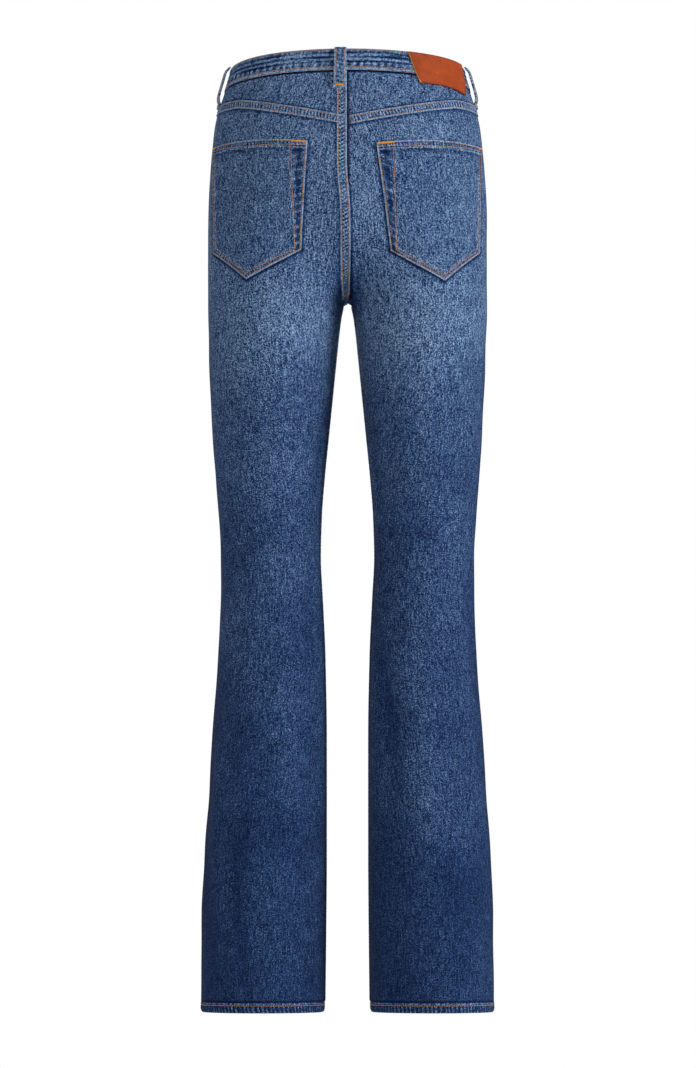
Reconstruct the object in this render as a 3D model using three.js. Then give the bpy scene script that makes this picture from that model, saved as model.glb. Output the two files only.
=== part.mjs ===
// Flared five-pocket jeans, filled out as when worn, with an open waist and open hems.
// Millimetres. +X is the wearer's right, +Y the wearer's front and +Z up.
// The origin is the middle of the waist opening, level with its edge at the side seams.
import * as THREE from "three";

// Cloth
const CLOTH = 1.6;
const FACING_CLOTH = 1.2;
const POCKET_CLOTH = 1.4;
const BAND_CLOTH = 3;
const BAND_PROUD = 0.8;
const LOOP_CLOTH = 2.6;
const LEATHER = 1.6;
const SEAM_GAP = 0.3;
const LAY_ON = 0.5;

// Heights
const CROTCH = -274;
const HEM = -1107;
const HEM_TURN_UP = 10;
const HEM_STEP = 1.5;
const HEM_PROUD = 0.5;
const HEM_INSIDE = 0.9;
const BAND_HEIGHT = 25;
const WAIST_TILT = 11;

// The seat: the centre seams curve from the crotch to upright over these heights
const BACK_FORK_RISE = 110;
const FRONT_FORK_RISE = 90;
const SEAT_MERGE_LOW = CROTCH - 90;
const SEAT_MERGE_HIGH = CROTCH + 130;
const SEAT_MERGE_TURN = 0.4;
const ARCH_DEPTH = 6;
const ARCH_TURN = 0.16;
const HIP_FULLNESS = 0.85;

// Seams
const SIDE_SEAM = 1.03;
const YOKE_MIDDLE = -74;
const YOKE_SIDE = -48;
const YOKE_POINT_X = 128;
const YOKE_HALF_WIDTH = 155;
const PANEL_JOIN = -112;

// Half widths and depths of the filled-out body at each height
const SECTION_COLUMNS = ["height", "outer", "inner", "back", "front"];
const SECTION_ROWS = [
  [15, 135.5, 0, 93, 88.5],
  [0, 138.5, 0, 95, 90],
  [-10, 141, 0, 96.5, 91],
  [-28, 146.5, 0, 99.5, 92.8],
  [-48, 153, 0, 103, 94.5],
  [-68, 157.3, 0, 106.8, 96.2],
  [-92, 160, 0, 111.5, 98],
  [-116, 162.2, 0, 116, 99.8],
  [-151, 164, 0, 121.5, 102],
  [-198, 164.8, 0, 125, 104],
  [-238, 164.9, 1.5, 120.5, 102.5],
  [CROTCH, 164.8, 4.6, 113, 98.7],
  [-293, 164.6, 8.3, 108.5, 95.8],
  [-316, 163.8, 11.2, 103, 92],
  [-340, 163.4, 13.6, 99, 89],
  [-387, 161, 18.3, 92, 84],
  [-434, 158.7, 23, 86, 78.5],
  [-481, 155.2, 27.7, 79, 72],
  [-529, 151.6, 31.3, 72.5, 65.5],
  [-576, 149.3, 32.5, 68.5, 61],
  [-623, 149.3, 30.2, 68.5, 60.5],
  [-694, 151.6, 27, 73, 63.5],
  [-788, 158.7, 25.4, 79.5, 68.5],
  [-859, 163.4, 25.4, 84, 72.5],
  [-930, 168, 25.4, 88, 76],
  [-1013, 171.2, 26, 92, 79],
  [HEM, 171.7, 27, 94, 81],
];

// Rows of points up the leg and the seat, closer together where the seams bend
const LEG_HEIGHTS = [
  HEM,
  HEM + HEM_TURN_UP,
  HEM + HEM_TURN_UP + HEM_STEP,
  -1050,
  -990,
  -930,
  -870,
  -805,
  -740,
  -680,
  -625,
  -576,
  -529,
  -481,
  -434,
  -387,
  -350,
  -320,
  -298,
  -286,
  CROTCH - ARCH_DEPTH,
  CROTCH - 3,
  CROTCH - 1,
];
const SEAT_RISES = [0, 1, 4, 9, 17, 28, 42, 58, 78, 100, 122, 143];
const PANEL_TOP_ROWS = 3;

// Front pocket scoops
const SCOOP_END = 1.45;
const SCOOP_LOW = -88;
const SCOOP_STEPS = 6;
const FACING_BOTTOM = -110;

// Back pockets: distances out from the centre back, and heights
const POCKET_TOP_IN = { x: 33, height: -101 };
const POCKET_TOP_OUT = { x: 157, height: -95 };
const POCKET_LOW_IN = { x: 50, height: -226 };
const POCKET_LOW_OUT = { x: 153.5, height: -223 };
const POCKET_POINT = { x: 112.4, height: -260 };
const POCKET_TOP_BOW = 2.5;
const POCKET_ROWS = 9;
const POCKET_INNER_COLUMNS = 7;
const POCKET_OUTER_COLUMNS = 6;

// Leather patch: its corners out from the centre back, and its lower corners' heights
const PATCH_TOP_X = [70.6, 133];
const PATCH_LOW_X = [84, 137.5];
const PATCH_LOW_HEIGHTS = [-27, -35.5];
const PATCH_TOP_MARGIN = 0.6;

// Belt loops: where they stand round the waist, and how far each stands off at each drop from the waist
const LOOP_WIDTH = 14;
const LOOP_TURNS = {
  belt_loop_back: 0,
  belt_loop_side_right: 0.93,
  belt_loop_side_left: -0.93,
  belt_loop_front_right: 1.56,
  belt_loop_front_left: -1.56,
};
const LOOP_PROFILE_COLUMNS = ["drop", "standoff"];
const LOOP_PROFILE_ROWS = [
  [48, LAY_ON],
  [43, LAY_ON],
  [40, 3.2],
  [35, 6.2],
  [28, 6.8],
  [10, 6.8],
  [5, 5.4],
  [2, 3.2],
  [-1, BAND_PROUD + LAY_ON],
];

// Front closure
const FLY_EDGE_X = 5;
const FLY_WIDTH = 38;
const FLY_BEND_HEIGHT = -124;
const FLY_BOTTOM = -160;
const FLY_TIP = 3;
const FLY_PROUD = 1.5;
const FLY_STITCHED_EDGE = 0.6;
const BAND_OVER_X = 12;
const BAND_UNDER_X = 26;
const BAND_STEP_X = [16, 36];
const BUTTON_PROFILE = [
  [0, 0],
  [3.2, 0],
  [3.2, 1.7],
  [8, 1.9],
  [8.6, 2.6],
  [8.2, 3.4],
  [5.5, 3.6],
  [0, 3.4],
];
const BUTTON_SIDES = 20;

// Finishes
const denim = new THREE.MeshStandardMaterial({ color: 0x3d5c86, roughness: 0.9, metalness: 0 });
const darkDenim = new THREE.MeshStandardMaterial({ color: 0x33507a, roughness: 0.9, metalness: 0 });
const leather = new THREE.MeshStandardMaterial({ color: 0xb24a24, roughness: 0.55, metalness: 0 });
const copper = new THREE.MeshStandardMaterial({ color: 0xa9704a, roughness: 0.35, metalness: 1 });

const lerp = THREE.MathUtils.lerp;
const named = (columns, rows) =>
  rows.map((row) => Object.fromEntries(columns.map((column, i) => [column, row[i]])));
const spread = (from, to, count) =>
  Array.from({ length: count + 1 }, (_, i) => lerp(from, to, i / count));

// A table read at any height, rounded through its rows without overshooting them
function tableReader(rows, key) {
  const steepness = (i, column) => (rows[i + 1][column] - rows[i][column]) / (rows[i + 1][key] - rows[i][key]);
  const tangent = (i, column) => {
    if (i === 0 || i === rows.length - 1) return steepness(Math.min(i, rows.length - 2), column);
    const before = steepness(i - 1, column);
    const after = steepness(i, column);
    return before * after <= 0 ? 0 : (2 * before * after) / (before + after);
  };
  return (value, column) => {
    const inside = THREE.MathUtils.clamp(value, rows[rows.length - 1][key], rows[0][key]);
    let i = 0;
    while (i < rows.length - 2 && rows[i + 1][key] > inside) i += 1;
    const span = rows[i + 1][key] - rows[i][key];
    const t = (inside - rows[i][key]) / span;
    const rest = 1 - t;
    return (
      rows[i][column] * (1 + 2 * t) * rest ** 2 +
      rows[i + 1][column] * t ** 2 * (3 - 2 * t) +
      span * (tangent(i, column) * t * rest ** 2 - tangent(i + 1, column) * t ** 2 * rest)
    );
  };
}

const section = tableReader(named(SECTION_COLUMNS, SECTION_ROWS), "height");

// The rounded cosine that places the hips' depth: 1 at the centre back, 0 at the side and -1 at the centre front
function backToFront(turn) {
  const cosine = Math.cos((Math.PI / 2) * turn);
  return Math.sign(cosine) * Math.abs(cosine) ** HIP_FULLNESS;
}

const waistTop = (turn) => WAIST_TILT * backToFront(turn);
const bandSeam = (turn) => waistTop(turn) - BAND_HEIGHT;

function yokeSeam(turn) {
  const x = YOKE_HALF_WIDTH * Math.sin((Math.PI / 2) * turn);
  return lerp(YOKE_MIDDLE, YOKE_SIDE, Math.min(1, x / YOKE_POINT_X));
}

// How far a section has gone from a leg's own ring to the ring of the whole hips
function seatMerge(height, turn) {
  const rise = turn < 1 ? BACK_FORK_RISE : FRONT_FORK_RISE;
  const up = THREE.MathUtils.clamp((height - CROTCH) / rise, 0, 1);
  const atSeam = Math.sqrt(1 - (1 - up) ** 2);
  const away = THREE.MathUtils.smoothstep(height, SEAT_MERGE_LOW, SEAT_MERGE_HIGH);
  const fromSeam = Math.min(1, Math.min(turn, 2 - turn) / SEAT_MERGE_TURN);
  const offSeam = Math.sin((Math.PI / 2) * fromSeam);
  return lerp(atSeam, away, offSeam);
}

// How far the two legs are drawn together at the inseam: fully at the crotch, and not at all below its arch
function crotchArch(height, turn) {
  const down = THREE.MathUtils.clamp((CROTCH - height) / ARCH_DEPTH, 0, 1);
  const fromSeam = Math.min(turn, 2 - turn) / ARCH_TURN;
  return (1 - Math.sqrt(1 - (1 - down) ** 2)) * (1 - THREE.MathUtils.smoothstep(fromSeam, 0, 1));
}

// The right half of the outer surface. Turn is 0 at the centre back and the inseam, 1 at the side,
// and 2 at the centre front and the inseam again.
function surfacePoint(height, turn) {
  const outer = section(height, "outer");
  const inner = section(height, "inner");
  const depth = section(height, turn < 1 ? "back" : "front");
  const merge = seatMerge(height, turn);
  const ringX = (outer + inner) / 2 - ((outer - inner) / 2) * Math.cos(Math.PI * turn);
  const legX = ringX - inner * crotchArch(height, turn);
  const legY = -depth * Math.sin(Math.PI * turn);
  const hipX = outer * Math.sin((Math.PI / 2) * turn);
  const hipY = -depth * backToFront(turn);
  return new THREE.Vector3(lerp(legX, hipX, merge), lerp(legY, hipY, merge), height);
}

function surfaceNormal(height, turn) {
  const heightStep = 0.5;
  const turnStep = 0.004;
  const up = surfacePoint(height + heightStep, turn).sub(surfacePoint(height - heightStep, turn));
  const ahead = surfacePoint(height, Math.min(2, turn + turnStep));
  return ahead.sub(surfacePoint(height, Math.max(0, turn - turnStep))).cross(up).normalize();
}

// A point of a panel. At the centre seams and the inseam it keeps to its own side of the seam.
function panelPoint(height, turn, offset) {
  const normal = surfaceNormal(height, turn);
  const atSeam = turn === 0 || turn === 2;
  if (atSeam && height > CROTCH) normal.setX(0).normalize();
  if (atSeam && height <= CROTCH) normal.setY(0).normalize();
  const point = surfacePoint(height, turn).addScaledVector(normal, offset);
  point.x = Math.max(point.x, SEAM_GAP / 2);
  if (atSeam && height <= CROTCH) point.y = turn === 0 ? -SEAM_GAP / 2 : SEAM_GAP / 2;
  return point;
}

// A point of a piece that goes round the waist: turns below 0 and past 2 run on into the left half
function waistPoint(height, turn, offset) {
  const size = Math.abs(turn);
  const ownTurn = size > 2 ? 4 - size : size;
  const point = surfacePoint(height, ownTurn).addScaledVector(surfaceNormal(height, ownTurn), offset);
  if (turn < 0 !== size > 2) point.x = -point.x;
  return point;
}

// The turn at which a height of the back surface lies this far out from the centre
function turnAtX(x, height) {
  let low = 0;
  let high = 1;
  for (let i = 0; i < 40; i += 1) {
    const middle = (low + high) / 2;
    if (surfacePoint(height, middle).x < x) low = middle;
    else high = middle;
  }
  return low;
}

// The half turn that a strip of this width takes at a place on the waist
function halfTurn(width, height, turn) {
  const centre = waistPoint(height, turn, 0);
  let low = 0;
  let high = 0.3;
  for (let i = 0; i < 40; i += 1) {
    const middle = (low + high) / 2;
    if (waistPoint(height, turn + middle, 0).distanceTo(centre) < width / 2) low = middle;
    else high = middle;
  }
  return low;
}

// A closed wall between an outer and an inner sheet of points, whose rows run upwards and whose columns
// run with the turn. A mirrored wall is the same piece on the wearer's left.
function wallGeometry(outer, inner, mirrored) {
  const rows = outer.length;
  const columns = outer[0].length;
  const positions = [...outer.flat(), ...inner.flat()].flatMap((p) => [mirrored ? -p.x : p.x, p.y, p.z]);
  const at = (row, column, sheet) => (sheet * rows + row) * columns + column;
  const triangles = [];
  const quad = (a, b, c, d) => triangles.push(...(mirrored ? [a, c, b, a, d, c] : [a, b, c, a, c, d]));
  for (let row = 0; row < rows - 1; row += 1) {
    for (let column = 0; column < columns - 1; column += 1) {
      const [r, c] = [row + 1, column + 1];
      quad(at(row, column, 0), at(row, c, 0), at(r, c, 0), at(r, column, 0));
      quad(at(row, column, 1), at(r, column, 1), at(r, c, 1), at(row, c, 1));
    }
    const [above, last] = [row + 1, columns - 1];
    quad(at(row, 0, 0), at(above, 0, 0), at(above, 0, 1), at(row, 0, 1));
    quad(at(row, last, 0), at(row, last, 1), at(above, last, 1), at(above, last, 0));
  }
  for (let column = 0; column < columns - 1; column += 1) {
    const [next, top] = [column + 1, rows - 1];
    quad(at(0, column, 1), at(0, next, 1), at(0, next, 0), at(0, column, 0));
    quad(at(top, column, 0), at(top, next, 0), at(top, next, 1), at(top, column, 1));
  }
  const geometry = new THREE.BufferGeometry();
  geometry.setAttribute("position", new THREE.Float32BufferAttribute(positions, 3));
  geometry.setIndex(triangles);
  geometry.computeVertexNormals();
  return geometry;
}

// A cloth piece: place gives each row and column its height and turn, and the two offsets its faces
function clothPiece({ rows, columns, place, outside, inside, pointAt, mirrored = false }) {
  const sheet = (offset) =>
    Array.from({ length: rows + 1 }, (_, row) =>
      Array.from({ length: columns + 1 }, (__, column) => {
        const { height, turn } = place(row, column);
        return pointAt(height, turn, offset(row, column, height, turn));
      }),
    );
  return wallGeometry(sheet(outside), sheet(inside), mirrored);
}

const jeans = new THREE.Group();
function add(name, geometry, material) {
  const mesh = new THREE.Mesh(geometry, material);
  mesh.name = name;
  jeans.add(mesh);
  return mesh;
}

// Turns are trimmed at the side seam so that the two panels stay a seam gap apart
const SIDE_TRIM = SEAM_GAP / 2 / 240;
const backTurns = [0, 0.035, ...spread(0.09, SIDE_SEAM - SIDE_TRIM, 11)];
const scoopTurns = Array.from({ length: SCOOP_STEPS + 1 }, (_, i) =>
  lerp(SIDE_SEAM + SIDE_TRIM, SCOOP_END, Math.sin((Math.PI / 2) * (i / SCOOP_STEPS))),
);
const frontTurns = [...scoopTurns, ...spread(SCOOP_END, 1.91, 5).slice(1), 1.965, 2];
const panelHeights = [...LEG_HEIGHTS, ...SEAT_RISES.map((rise) => CROTCH + rise), PANEL_JOIN];

// The front panel's top edge: the scoop of the pocket, and then the waistband's seam
function frontTop(turn) {
  const seam = bandSeam(turn) - SEAM_GAP / 2;
  if (turn >= SCOOP_END) return seam;
  const along = (turn - SIDE_SEAM) / (SCOOP_END - SIDE_SEAM);
  return lerp(SCOOP_LOW, bandSeam(SCOOP_END) - SEAM_GAP / 2, 1 - Math.sqrt(1 - along ** 2));
}

function panel(turns, topAt, mirrored) {
  const lastHeight = panelHeights.length - 1;
  const inTurnUp = (height) => height <= HEM + HEM_TURN_UP;
  return clothPiece({
    rows: lastHeight + PANEL_TOP_ROWS,
    columns: turns.length - 1,
    place: (row, column) => {
      const turn = turns[column];
      const above = Math.max(0, row - lastHeight) / PANEL_TOP_ROWS;
      return { turn, height: lerp(panelHeights[Math.min(row, lastHeight)], topAt(turn), above) };
    },
    outside: (row, column, height) => (inTurnUp(height) ? HEM_PROUD : 0),
    inside: (row, column, height) => -CLOTH - (inTurnUp(height) ? HEM_INSIDE : 0),
    pointAt: panelPoint,
    mirrored,
  });
}

function yoke(mirrored) {
  const rows = 3;
  return clothPiece({
    rows,
    columns: backTurns.length - 1,
    place: (row, column) => {
      const turn = backTurns[column];
      const low = yokeSeam(turn) + SEAM_GAP / 2;
      return { turn, height: lerp(low, bandSeam(turn) - SEAM_GAP / 2, row / rows) };
    },
    outside: () => 0,
    inside: () => -CLOTH,
    pointAt: panelPoint,
    mirrored,
  });
}

// The part of the pocket bag that shows in the scoop, behind the front panel
function pocketFacing(mirrored) {
  const rows = 4;
  const turns = frontTurns.slice(0, SCOOP_STEPS + 2);
  const face = -CLOTH - LAY_ON;
  return clothPiece({
    rows,
    columns: turns.length - 1,
    place: (row, column) => {
      const turn = turns[column];
      return { turn, height: lerp(FACING_BOTTOM, bandSeam(turn) - SEAM_GAP / 2, row / rows) };
    },
    outside: () => face,
    inside: () => face - FACING_CLOTH,
    pointAt: panelPoint,
    mirrored,
  });
}

function backPocket(mirrored) {
  const turnOf = (corner) => turnAtX(corner.x, corner.height);
  const topTurns = [turnOf(POCKET_TOP_IN), turnOf(POCKET_TOP_OUT)];
  const lowTurns = [turnOf(POCKET_LOW_IN), turnOf(POCKET_LOW_OUT)];
  const pointAcross = (turnOf(POCKET_POINT) - lowTurns[0]) / (lowTurns[1] - lowTurns[0]);
  const across = [
    ...spread(0, pointAcross, POCKET_INNER_COLUMNS),
    ...spread(pointAcross, 1, POCKET_OUTER_COLUMNS).slice(1),
  ];
  const topHeight = (u) =>
    lerp(POCKET_TOP_IN.height, POCKET_TOP_OUT.height, u) + POCKET_TOP_BOW * Math.sin(Math.PI * u);
  const lowHeight = (u) =>
    u < pointAcross
      ? lerp(POCKET_LOW_IN.height, POCKET_POINT.height, u / pointAcross)
      : lerp(POCKET_POINT.height, POCKET_LOW_OUT.height, (u - pointAcross) / (1 - pointAcross));
  return clothPiece({
    rows: POCKET_ROWS,
    columns: across.length - 1,
    place: (row, column) => {
      const u = across[column];
      const v = row / POCKET_ROWS;
      const low = lerp(lowTurns[0], lowTurns[1], u);
      const top = lerp(topTurns[0], topTurns[1], u);
      return { turn: lerp(low, top, v), height: lerp(lowHeight(u), topHeight(u), v) };
    },
    outside: () => LAY_ON + POCKET_CLOTH,
    inside: () => LAY_ON,
    pointAt: panelPoint,
    mirrored,
  });
}

// One strip from the over end, round the back, to the end that lies under it at the centre front
function waistband() {
  const turnOutTo = (x) => Math.asin(x / section(bandSeam(2), "outer")) / (Math.PI / 2);
  const [stepEnd, stepStart] = BAND_STEP_X.map((x) => 2 - turnOutTo(x));
  const turns = [
    -2 - turnOutTo(BAND_OVER_X),
    ...spread(-1.97, stepStart, 46),
    ...spread(stepStart, stepEnd, 2).slice(1),
    2,
    2 + turnOutTo(BAND_UNDER_X),
  ];
  const rows = 2;
  const tuck = (turn) =>
    (BAND_CLOTH + SEAM_GAP) * THREE.MathUtils.smoothstep(turn, stepStart, stepEnd);
  return clothPiece({
    rows,
    columns: turns.length - 1,
    place: (row, column) => {
      const turn = turns[column];
      return { turn, height: lerp(bandSeam(turn) + SEAM_GAP / 2, waistTop(turn), row / rows) };
    },
    outside: (row, column, height, turn) => BAND_PROUD - tuck(turn),
    inside: (row, column, height, turn) => BAND_PROUD - BAND_CLOTH - tuck(turn),
    pointAt: waistPoint,
  });
}

function beltLoop(turn) {
  const profile = named(LOOP_PROFILE_COLUMNS, LOOP_PROFILE_ROWS);
  const half = halfTurn(LOOP_WIDTH, bandSeam(turn), turn);
  return clothPiece({
    rows: profile.length - 1,
    columns: 2,
    place: (row, column) => ({
      turn: turn + (column - 1) * half,
      height: waistTop(turn) - profile[row].drop,
    }),
    outside: (row) => profile[row].standoff + LOOP_CLOTH,
    inside: (row) => profile[row].standoff,
    pointAt: waistPoint,
  });
}

function leatherPatch() {
  const rows = 3;
  const columns = 8;
  const topTurns = PATCH_TOP_X.map((x) => turnAtX(x, 0));
  const lowTurns = PATCH_LOW_X.map((x, i) => turnAtX(x, PATCH_LOW_HEIGHTS[i]));
  const face = BAND_PROUD + LAY_ON;
  return clothPiece({
    rows,
    columns,
    place: (row, column) => {
      const u = column / columns;
      const v = row / rows;
      const turn = lerp(lerp(lowTurns[0], lowTurns[1], u), lerp(topTurns[0], topTurns[1], u), v);
      const low = lerp(PATCH_LOW_HEIGHTS[0], PATCH_LOW_HEIGHTS[1], u);
      return { turn, height: lerp(low, waistTop(turn) - PATCH_TOP_MARGIN, v) };
    },
    outside: () => face + LEATHER,
    inside: () => face,
    pointAt: waistPoint,
  });
}

// The fly's flap: a free edge just past the centre front, and a stitched edge that bends to meet it
function flyFlap() {
  const rows = 10;
  const columns = 4;
  const turnOutTo = (x, height) => Math.asin(x / section(height, "outer")) / (Math.PI / 2);
  const heights = [
    ...Array.from({ length: 6 }, (_, i) =>
      lerp(FLY_BEND_HEIGHT, FLY_BOTTOM, Math.cos((Math.PI / 2) * (i / 6))),
    ),
    ...spread(FLY_BEND_HEIGHT, bandSeam(2) - SEAM_GAP / 2, rows - 6),
  ];
  const stitchedX = (height) => {
    const bend = Math.min(0, height - FLY_BEND_HEIGHT) / (FLY_BOTTOM - FLY_BEND_HEIGHT);
    return Math.max(FLY_TIP, FLY_WIDTH * Math.sqrt(1 - bend ** 2));
  };
  return clothPiece({
    rows,
    columns,
    place: (row, column) => {
      const height = heights[row];
      const free = 2 - turnOutTo(FLY_EDGE_X, height);
      const stitched = 2 + turnOutTo(stitchedX(height), height);
      return { height, turn: lerp(free, stitched, column / columns) };
    },
    outside: (row, column) => LAY_ON + lerp(FLY_PROUD, FLY_STITCHED_EDGE, column / columns),
    inside: () => LAY_ON,
    pointAt: waistPoint,
  });
}

function addButton() {
  const profile = BUTTON_PROFILE.map(([radius, rise]) => new THREE.Vector2(radius, rise));
  const height = bandSeam(2) + BAND_HEIGHT / 2;
  const normal = surfaceNormal(height, 2).setX(0).normalize();
  const button = add("button", new THREE.LatheGeometry(profile, BUTTON_SIDES), copper);
  button.position.copy(surfacePoint(height, 2)).addScaledVector(normal, BAND_PROUD + SEAM_GAP);
  button.position.x = 0;
  button.quaternion.setFromUnitVectors(new THREE.Vector3(0, 1, 0), normal);
}

for (const [side, mirrored] of [
  ["right", false],
  ["left", true],
]) {
  const backTop = (turn) => yokeSeam(turn) - SEAM_GAP / 2;
  add(`back_panel_${side}`, panel(backTurns, backTop, mirrored), denim);
  add(`front_panel_${side}`, panel(frontTurns, frontTop, mirrored), denim);
  add(`yoke_${side}`, yoke(mirrored), denim);
  add(`front_pocket_facing_${side}`, pocketFacing(mirrored), darkDenim);
  add(`back_pocket_${side}`, backPocket(mirrored), darkDenim);
}
add("waistband", waistband(), denim);
for (const [name, turn] of Object.entries(LOOP_TURNS)) add(name, beltLoop(turn), darkDenim);
add("leather_patch", leatherPatch(), leather);
add("fly_flap", flyFlap(), denim);
addButton();

export default jeans;
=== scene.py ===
"""Flared five-pocket jeans in washed indigo denim, filled out, with an open waist and open hems.

+X is the wearer's right, +Y the wearer's front and +Z up, from the middle of the waist opening.
Sizes in the tables and the shape functions are millimetres, and each mesh is made in metres.
"""

import math

import bmesh
import bpy
import numpy as np
from bpy.props import FloatProperty, FloatVectorProperty, PointerProperty
from mathutils import Matrix, Vector


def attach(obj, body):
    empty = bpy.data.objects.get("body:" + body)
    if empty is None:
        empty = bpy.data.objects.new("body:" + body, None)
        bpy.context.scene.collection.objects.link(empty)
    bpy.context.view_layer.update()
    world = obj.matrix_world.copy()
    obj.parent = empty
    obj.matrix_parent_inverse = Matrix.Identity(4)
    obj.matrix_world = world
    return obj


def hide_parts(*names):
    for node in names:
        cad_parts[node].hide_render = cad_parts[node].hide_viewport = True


bl_info = {
    "name": "Flared Jeans",
    "version": (1, 0, 0),
    "blender": (4, 5, 0),
    "location": "View3D > Sidebar > Jeans",
    "description": "Sews the cloth, seams, stitches and trims of a pair of flared jeans",
    "category": "Object",
}

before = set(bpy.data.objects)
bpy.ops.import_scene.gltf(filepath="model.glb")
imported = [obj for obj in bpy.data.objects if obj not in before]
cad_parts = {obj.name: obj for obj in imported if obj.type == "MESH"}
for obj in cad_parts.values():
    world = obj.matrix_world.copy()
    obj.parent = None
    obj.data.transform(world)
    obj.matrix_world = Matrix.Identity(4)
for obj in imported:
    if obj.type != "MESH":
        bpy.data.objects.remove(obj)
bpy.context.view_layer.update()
MM = 0.001
RIGHT = 1
LEFT = -1
SIDES = {"right": RIGHT, "left": LEFT}

# Heights of the garment, how far the hem is swept up behind and down at its sides, how far its
# corners are rounded, and how far the cloth that is turned up goes on above its fold
CROTCH = -274.0
HEM = -1107.0
HEM_LIFT = 4.6
HEM_DROP = 2.4
HEM_CORNER = 5.5
HEM_ABOVE_FOLD = 6.5
BAND_HEIGHT = 25.0
WAIST_TILT = 12.4

# The seat, whose centre seams curve from the crotch to upright
BACK_FORK_RISE = 110.0
FRONT_FORK_RISE = 90.0
SEAT_MERGE_LOW = CROTCH - 90
SEAT_MERGE_HIGH = CROTCH + 130
SEAT_MERGE_TURN = 0.4
ARCH_DEPTH = 6.0
ARCH_TURN = 0.16
HIP_FULLNESS = 0.85

# Seams: the turn of the side seam, the corners of the yoke, where the legs' rows meet the seat's,
# the seat seam's width, the hem's row in from its fold, and how far the stitches stand off
SIDE_SEAM = 1.03
YOKE_MIDDLE = -74.0
YOKE_SIDE = -48.0
YOKE_POINT_X = 128.0
YOKE_HALF_WIDTH = 155.0
PANEL_JOIN = -112.0
SEAT_FOLD = 6.6
HEM_ROW_IN = 0.9
SEAM_STITCH_LIFT = 0.68
INSEAM_STITCH_LIFT = 0.66

# Front pockets: the scoop, the facing that shows in it, and how far in the mouth's rows are sewn
SCOOP_END = 1.45
SCOOP_LOW = -88.0
FACING_BOTTOM = -110.0
FACING_RISE = 2.5
FACING_GAP = 0.65
FACING_CLOTH = 1.1
MOUTH_ROWS_IN = (2.1, 8.0)

# The thickness of the cloth, and how far the waistband's two faces stand off the garment
CLOTH = 1.6
BAND_OUT = 0.9
BAND_IN = -2.1

# About how many millimetres a turn is round the garment
MM_A_TURN = 265.0

# Half widths and depths of the filled-out body: height, outer, inner, back, front
SECTION_ROWS = [
    (15, 135.5, 0, 93, 88.5),
    (0, 138.5, 0, 95, 90),
    (-10, 141, 0, 96.5, 91),
    (-28, 146.5, 0, 99.5, 92.8),
    (-48, 153, 0, 103, 94.5),
    (-68, 157.3, 0, 106.8, 96.2),
    (-92, 160, 0, 111.5, 97.4),
    (-116, 162.2, 0, 116, 98.4),
    (-151, 164, 0, 121.5, 99.2),
    (-198, 164.8, 0, 125, 99),
    (-238, 164.9, 1.5, 120.5, 97.2),
    (CROTCH, 164.8, 4.6, 113, 96.6),
    (-293, 164.6, 8.3, 108.5, 95.2),
    (-316, 163.8, 11.2, 103, 92.4),
    (-340, 163.4, 13.6, 99, 89.4),
    (-387, 161, 18.3, 92, 84),
    (-434, 158.7, 23, 86, 78.5),
    (-481, 155.2, 27.7, 79, 72),
    (-529, 151.6, 31.3, 72.5, 65.5),
    (-576, 149.3, 32.5, 68.5, 61),
    (-623, 149.3, 30.2, 68.5, 60.5),
    (-694, 151.6, 27, 73, 63.5),
    (-788, 158.7, 25.4, 79.5, 68.5),
    (-859, 163.4, 25.4, 84, 72.5),
    (-930, 168, 25.4, 88, 76),
    (-1013, 171.2, 26, 92, 79),
    (HEM, 171.7, 27, 94, 81),
]
OUTER, INNER, BACK, FRONT = range(4)

# How pale the wash has left the cloth at each height, from 0 for raw indigo to 1 for white
WASH_ROWS = [
    (12, 0.50), (-30, 0.50), (-60, 0.50), (-110, 0.515), (-200, 0.52), (-290, 0.51), (-350, 0.455),
    (-420, 0.395), (-520, 0.37), (-640, 0.35), (-800, 0.32), (-960, 0.29), (HEM, 0.275),
]

# Where the thighs are rubbed palest, by turn and height, and how pale, behind on the right and left
THIGH_BACK = (0.45, -318.0)
THIGH_FRONT = (1.5, -400.0)
THIGH_BACK_PALENESS = (0.105, 0.075)
THIGH_FRONT_PALENESS = 0.13

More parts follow.
